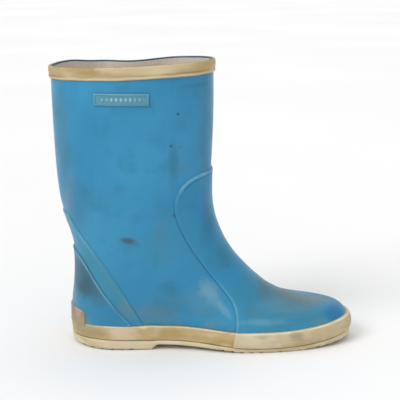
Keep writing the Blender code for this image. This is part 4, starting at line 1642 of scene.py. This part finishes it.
def main() -> None:
    """Dresses the boot, piece by piece."""
    logging.basicConfig(level=logging.INFO, format="%(message)s")
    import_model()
    last = Last(creases=CREASES)
    last.fit()
    wall = SheetRubber(marks=WALL_MARKS).material()
    front = SheetRubber(
        "vulcanised_blue_rubber_vamp", "#1F7EA9", "#2988B1", "#1A7092", marks=VAMP_MARKS,
    ).material()
    stay = SheetRubber(
        "vulcanised_blue_rubber_stay", "#297FA2", "#3287AB", "#26748C", marks=STAY_MARKS,
    ).material()
    back = SheetRubber(
        "vulcanised_blue_rubber_counter", "#257BA3", "#2F86AE", "#24708C", marks=COUNTER_MARKS,
    ).material()
    plate = SheetRubber(
        "moulded_blue_rubber_badge", "#4C8CA2", "#5695A9", "#417F94", "#9DB9BF", "#1D4557",
    ).material()
    cream = CreamRubber(
        "vulcanised_cream_foxing", "#B9A273", "#A08855", "#CDBB94", 0.16, FOXING_MARKS,
    ).material()
    toe = CreamRubber(
        "vulcanised_pale_toe_strip", "#C3B391", "#A8946A", "#D3C8AC", 0.12, TOE_MARKS,
    ).material()
    collar = CreamRubber(
        "vulcanised_cream_collar", "#C2B08A", "#A68D5E", "#D0C2A0", 0.14, COLLAR_MARKS,
    ).material()
    sole = CreamRubber(
        "moulded_cream_outsole", "#CFC1A0", "#B5A27A", "#DACFB6", 0.08, SOLE_MARKS,
        shade_and_soil="#8F8465",
    ).material()
    lining = KnitLining().material()
    scuff = ScuffRubber().material()
    sock = InsoleCloth().material()
    pieces = [
        Upper(last).build(wall, lining),
        # The tables give, by height, painted highlight on each rolled edge and painted shade at its
        # foot.
        LaidSheet(
            "vamp_sheet", "vamp", last, VAMP, GAP, 1.0 * MM,
            pale_and_highlight=(
                (0.0, 0.55), (0.030, 0.55), (0.052, 0.45), (0.065, 0.10), (0.112, 0.10),
                (0.126, 0.55), (0.134, 0.9), (0.142, 0.8), (0.15, 0.6),
            ),
            foot=((0.0, 0.6), (0.060, 0.75), (0.110, 0.65), (0.126, 0.15), (0.14, 0.1)),
            trough=((0.0, 0.0), (0.122, 0.0), (0.130, 0.6), (0.15, 0.7)),
        ).build(front, "blue_rubber"),
        LaidSheet(
            "ankle_stay_sheet", "ankle_stay", last, STAY, GAP, 0.7 * MM, 100, 90, 2.6 * MM,
            pale_and_highlight=((0.0, 0.35), (0.05, 0.25), (0.075, 0.25), (0.085, 0.5), (0.11, 0.7)),
            foot=((0.0, 0.35), (0.034, 0.4), (0.045, 0.0), (0.08, 0.0), (0.09, 0.3), (0.11, 0.5)),
        ).build(stay, "blue_rubber"),
        LaidSheet(
            "heel_counter_sheet", "heel_counter", last, COUNTER, 1.3 * MM, 0.9 * MM, 90, 90,
            1.5 * MM, 0.6 * MM, pale_and_highlight=((0.0, 0.6), (0.06, 0.65), (0.08, 0.5)),
            foot=((0.0, 0.15), (0.03, 0.2), (0.08, 0.4)),
        ).build(back, "blue_rubber"),
        LaidSheet(
            "heel_scuff_patch", "heel_tab", last, TAB, 2.5 * MM, 0.8 * MM, 70, 50, 0.9 * MM,
            1.9 * MM, 0.0,
        ).build(scuff, "scuff_rubber"),
        SoleStrip("foxing_strip", "foxing", last, GAP, 2.3 * MM).build(cream),
        SoleStrip(
            "toe_foxing_strip", "toe_strip", last, 2.9 * MM, 0.8 * MM, 0.572, soil=0.5,
        ).build(toe),
        RimStrip(last).build(collar),
        Badge(last).build(plate),
        Outsole(last).build(sole),
        Insole(last).build(sock),
    ]
    for piece in pieces:
        log.info("%s: %d faces", piece.name, len(piece.data.polygons))
    Stage().build()


if __name__ == "__main__":
    main()
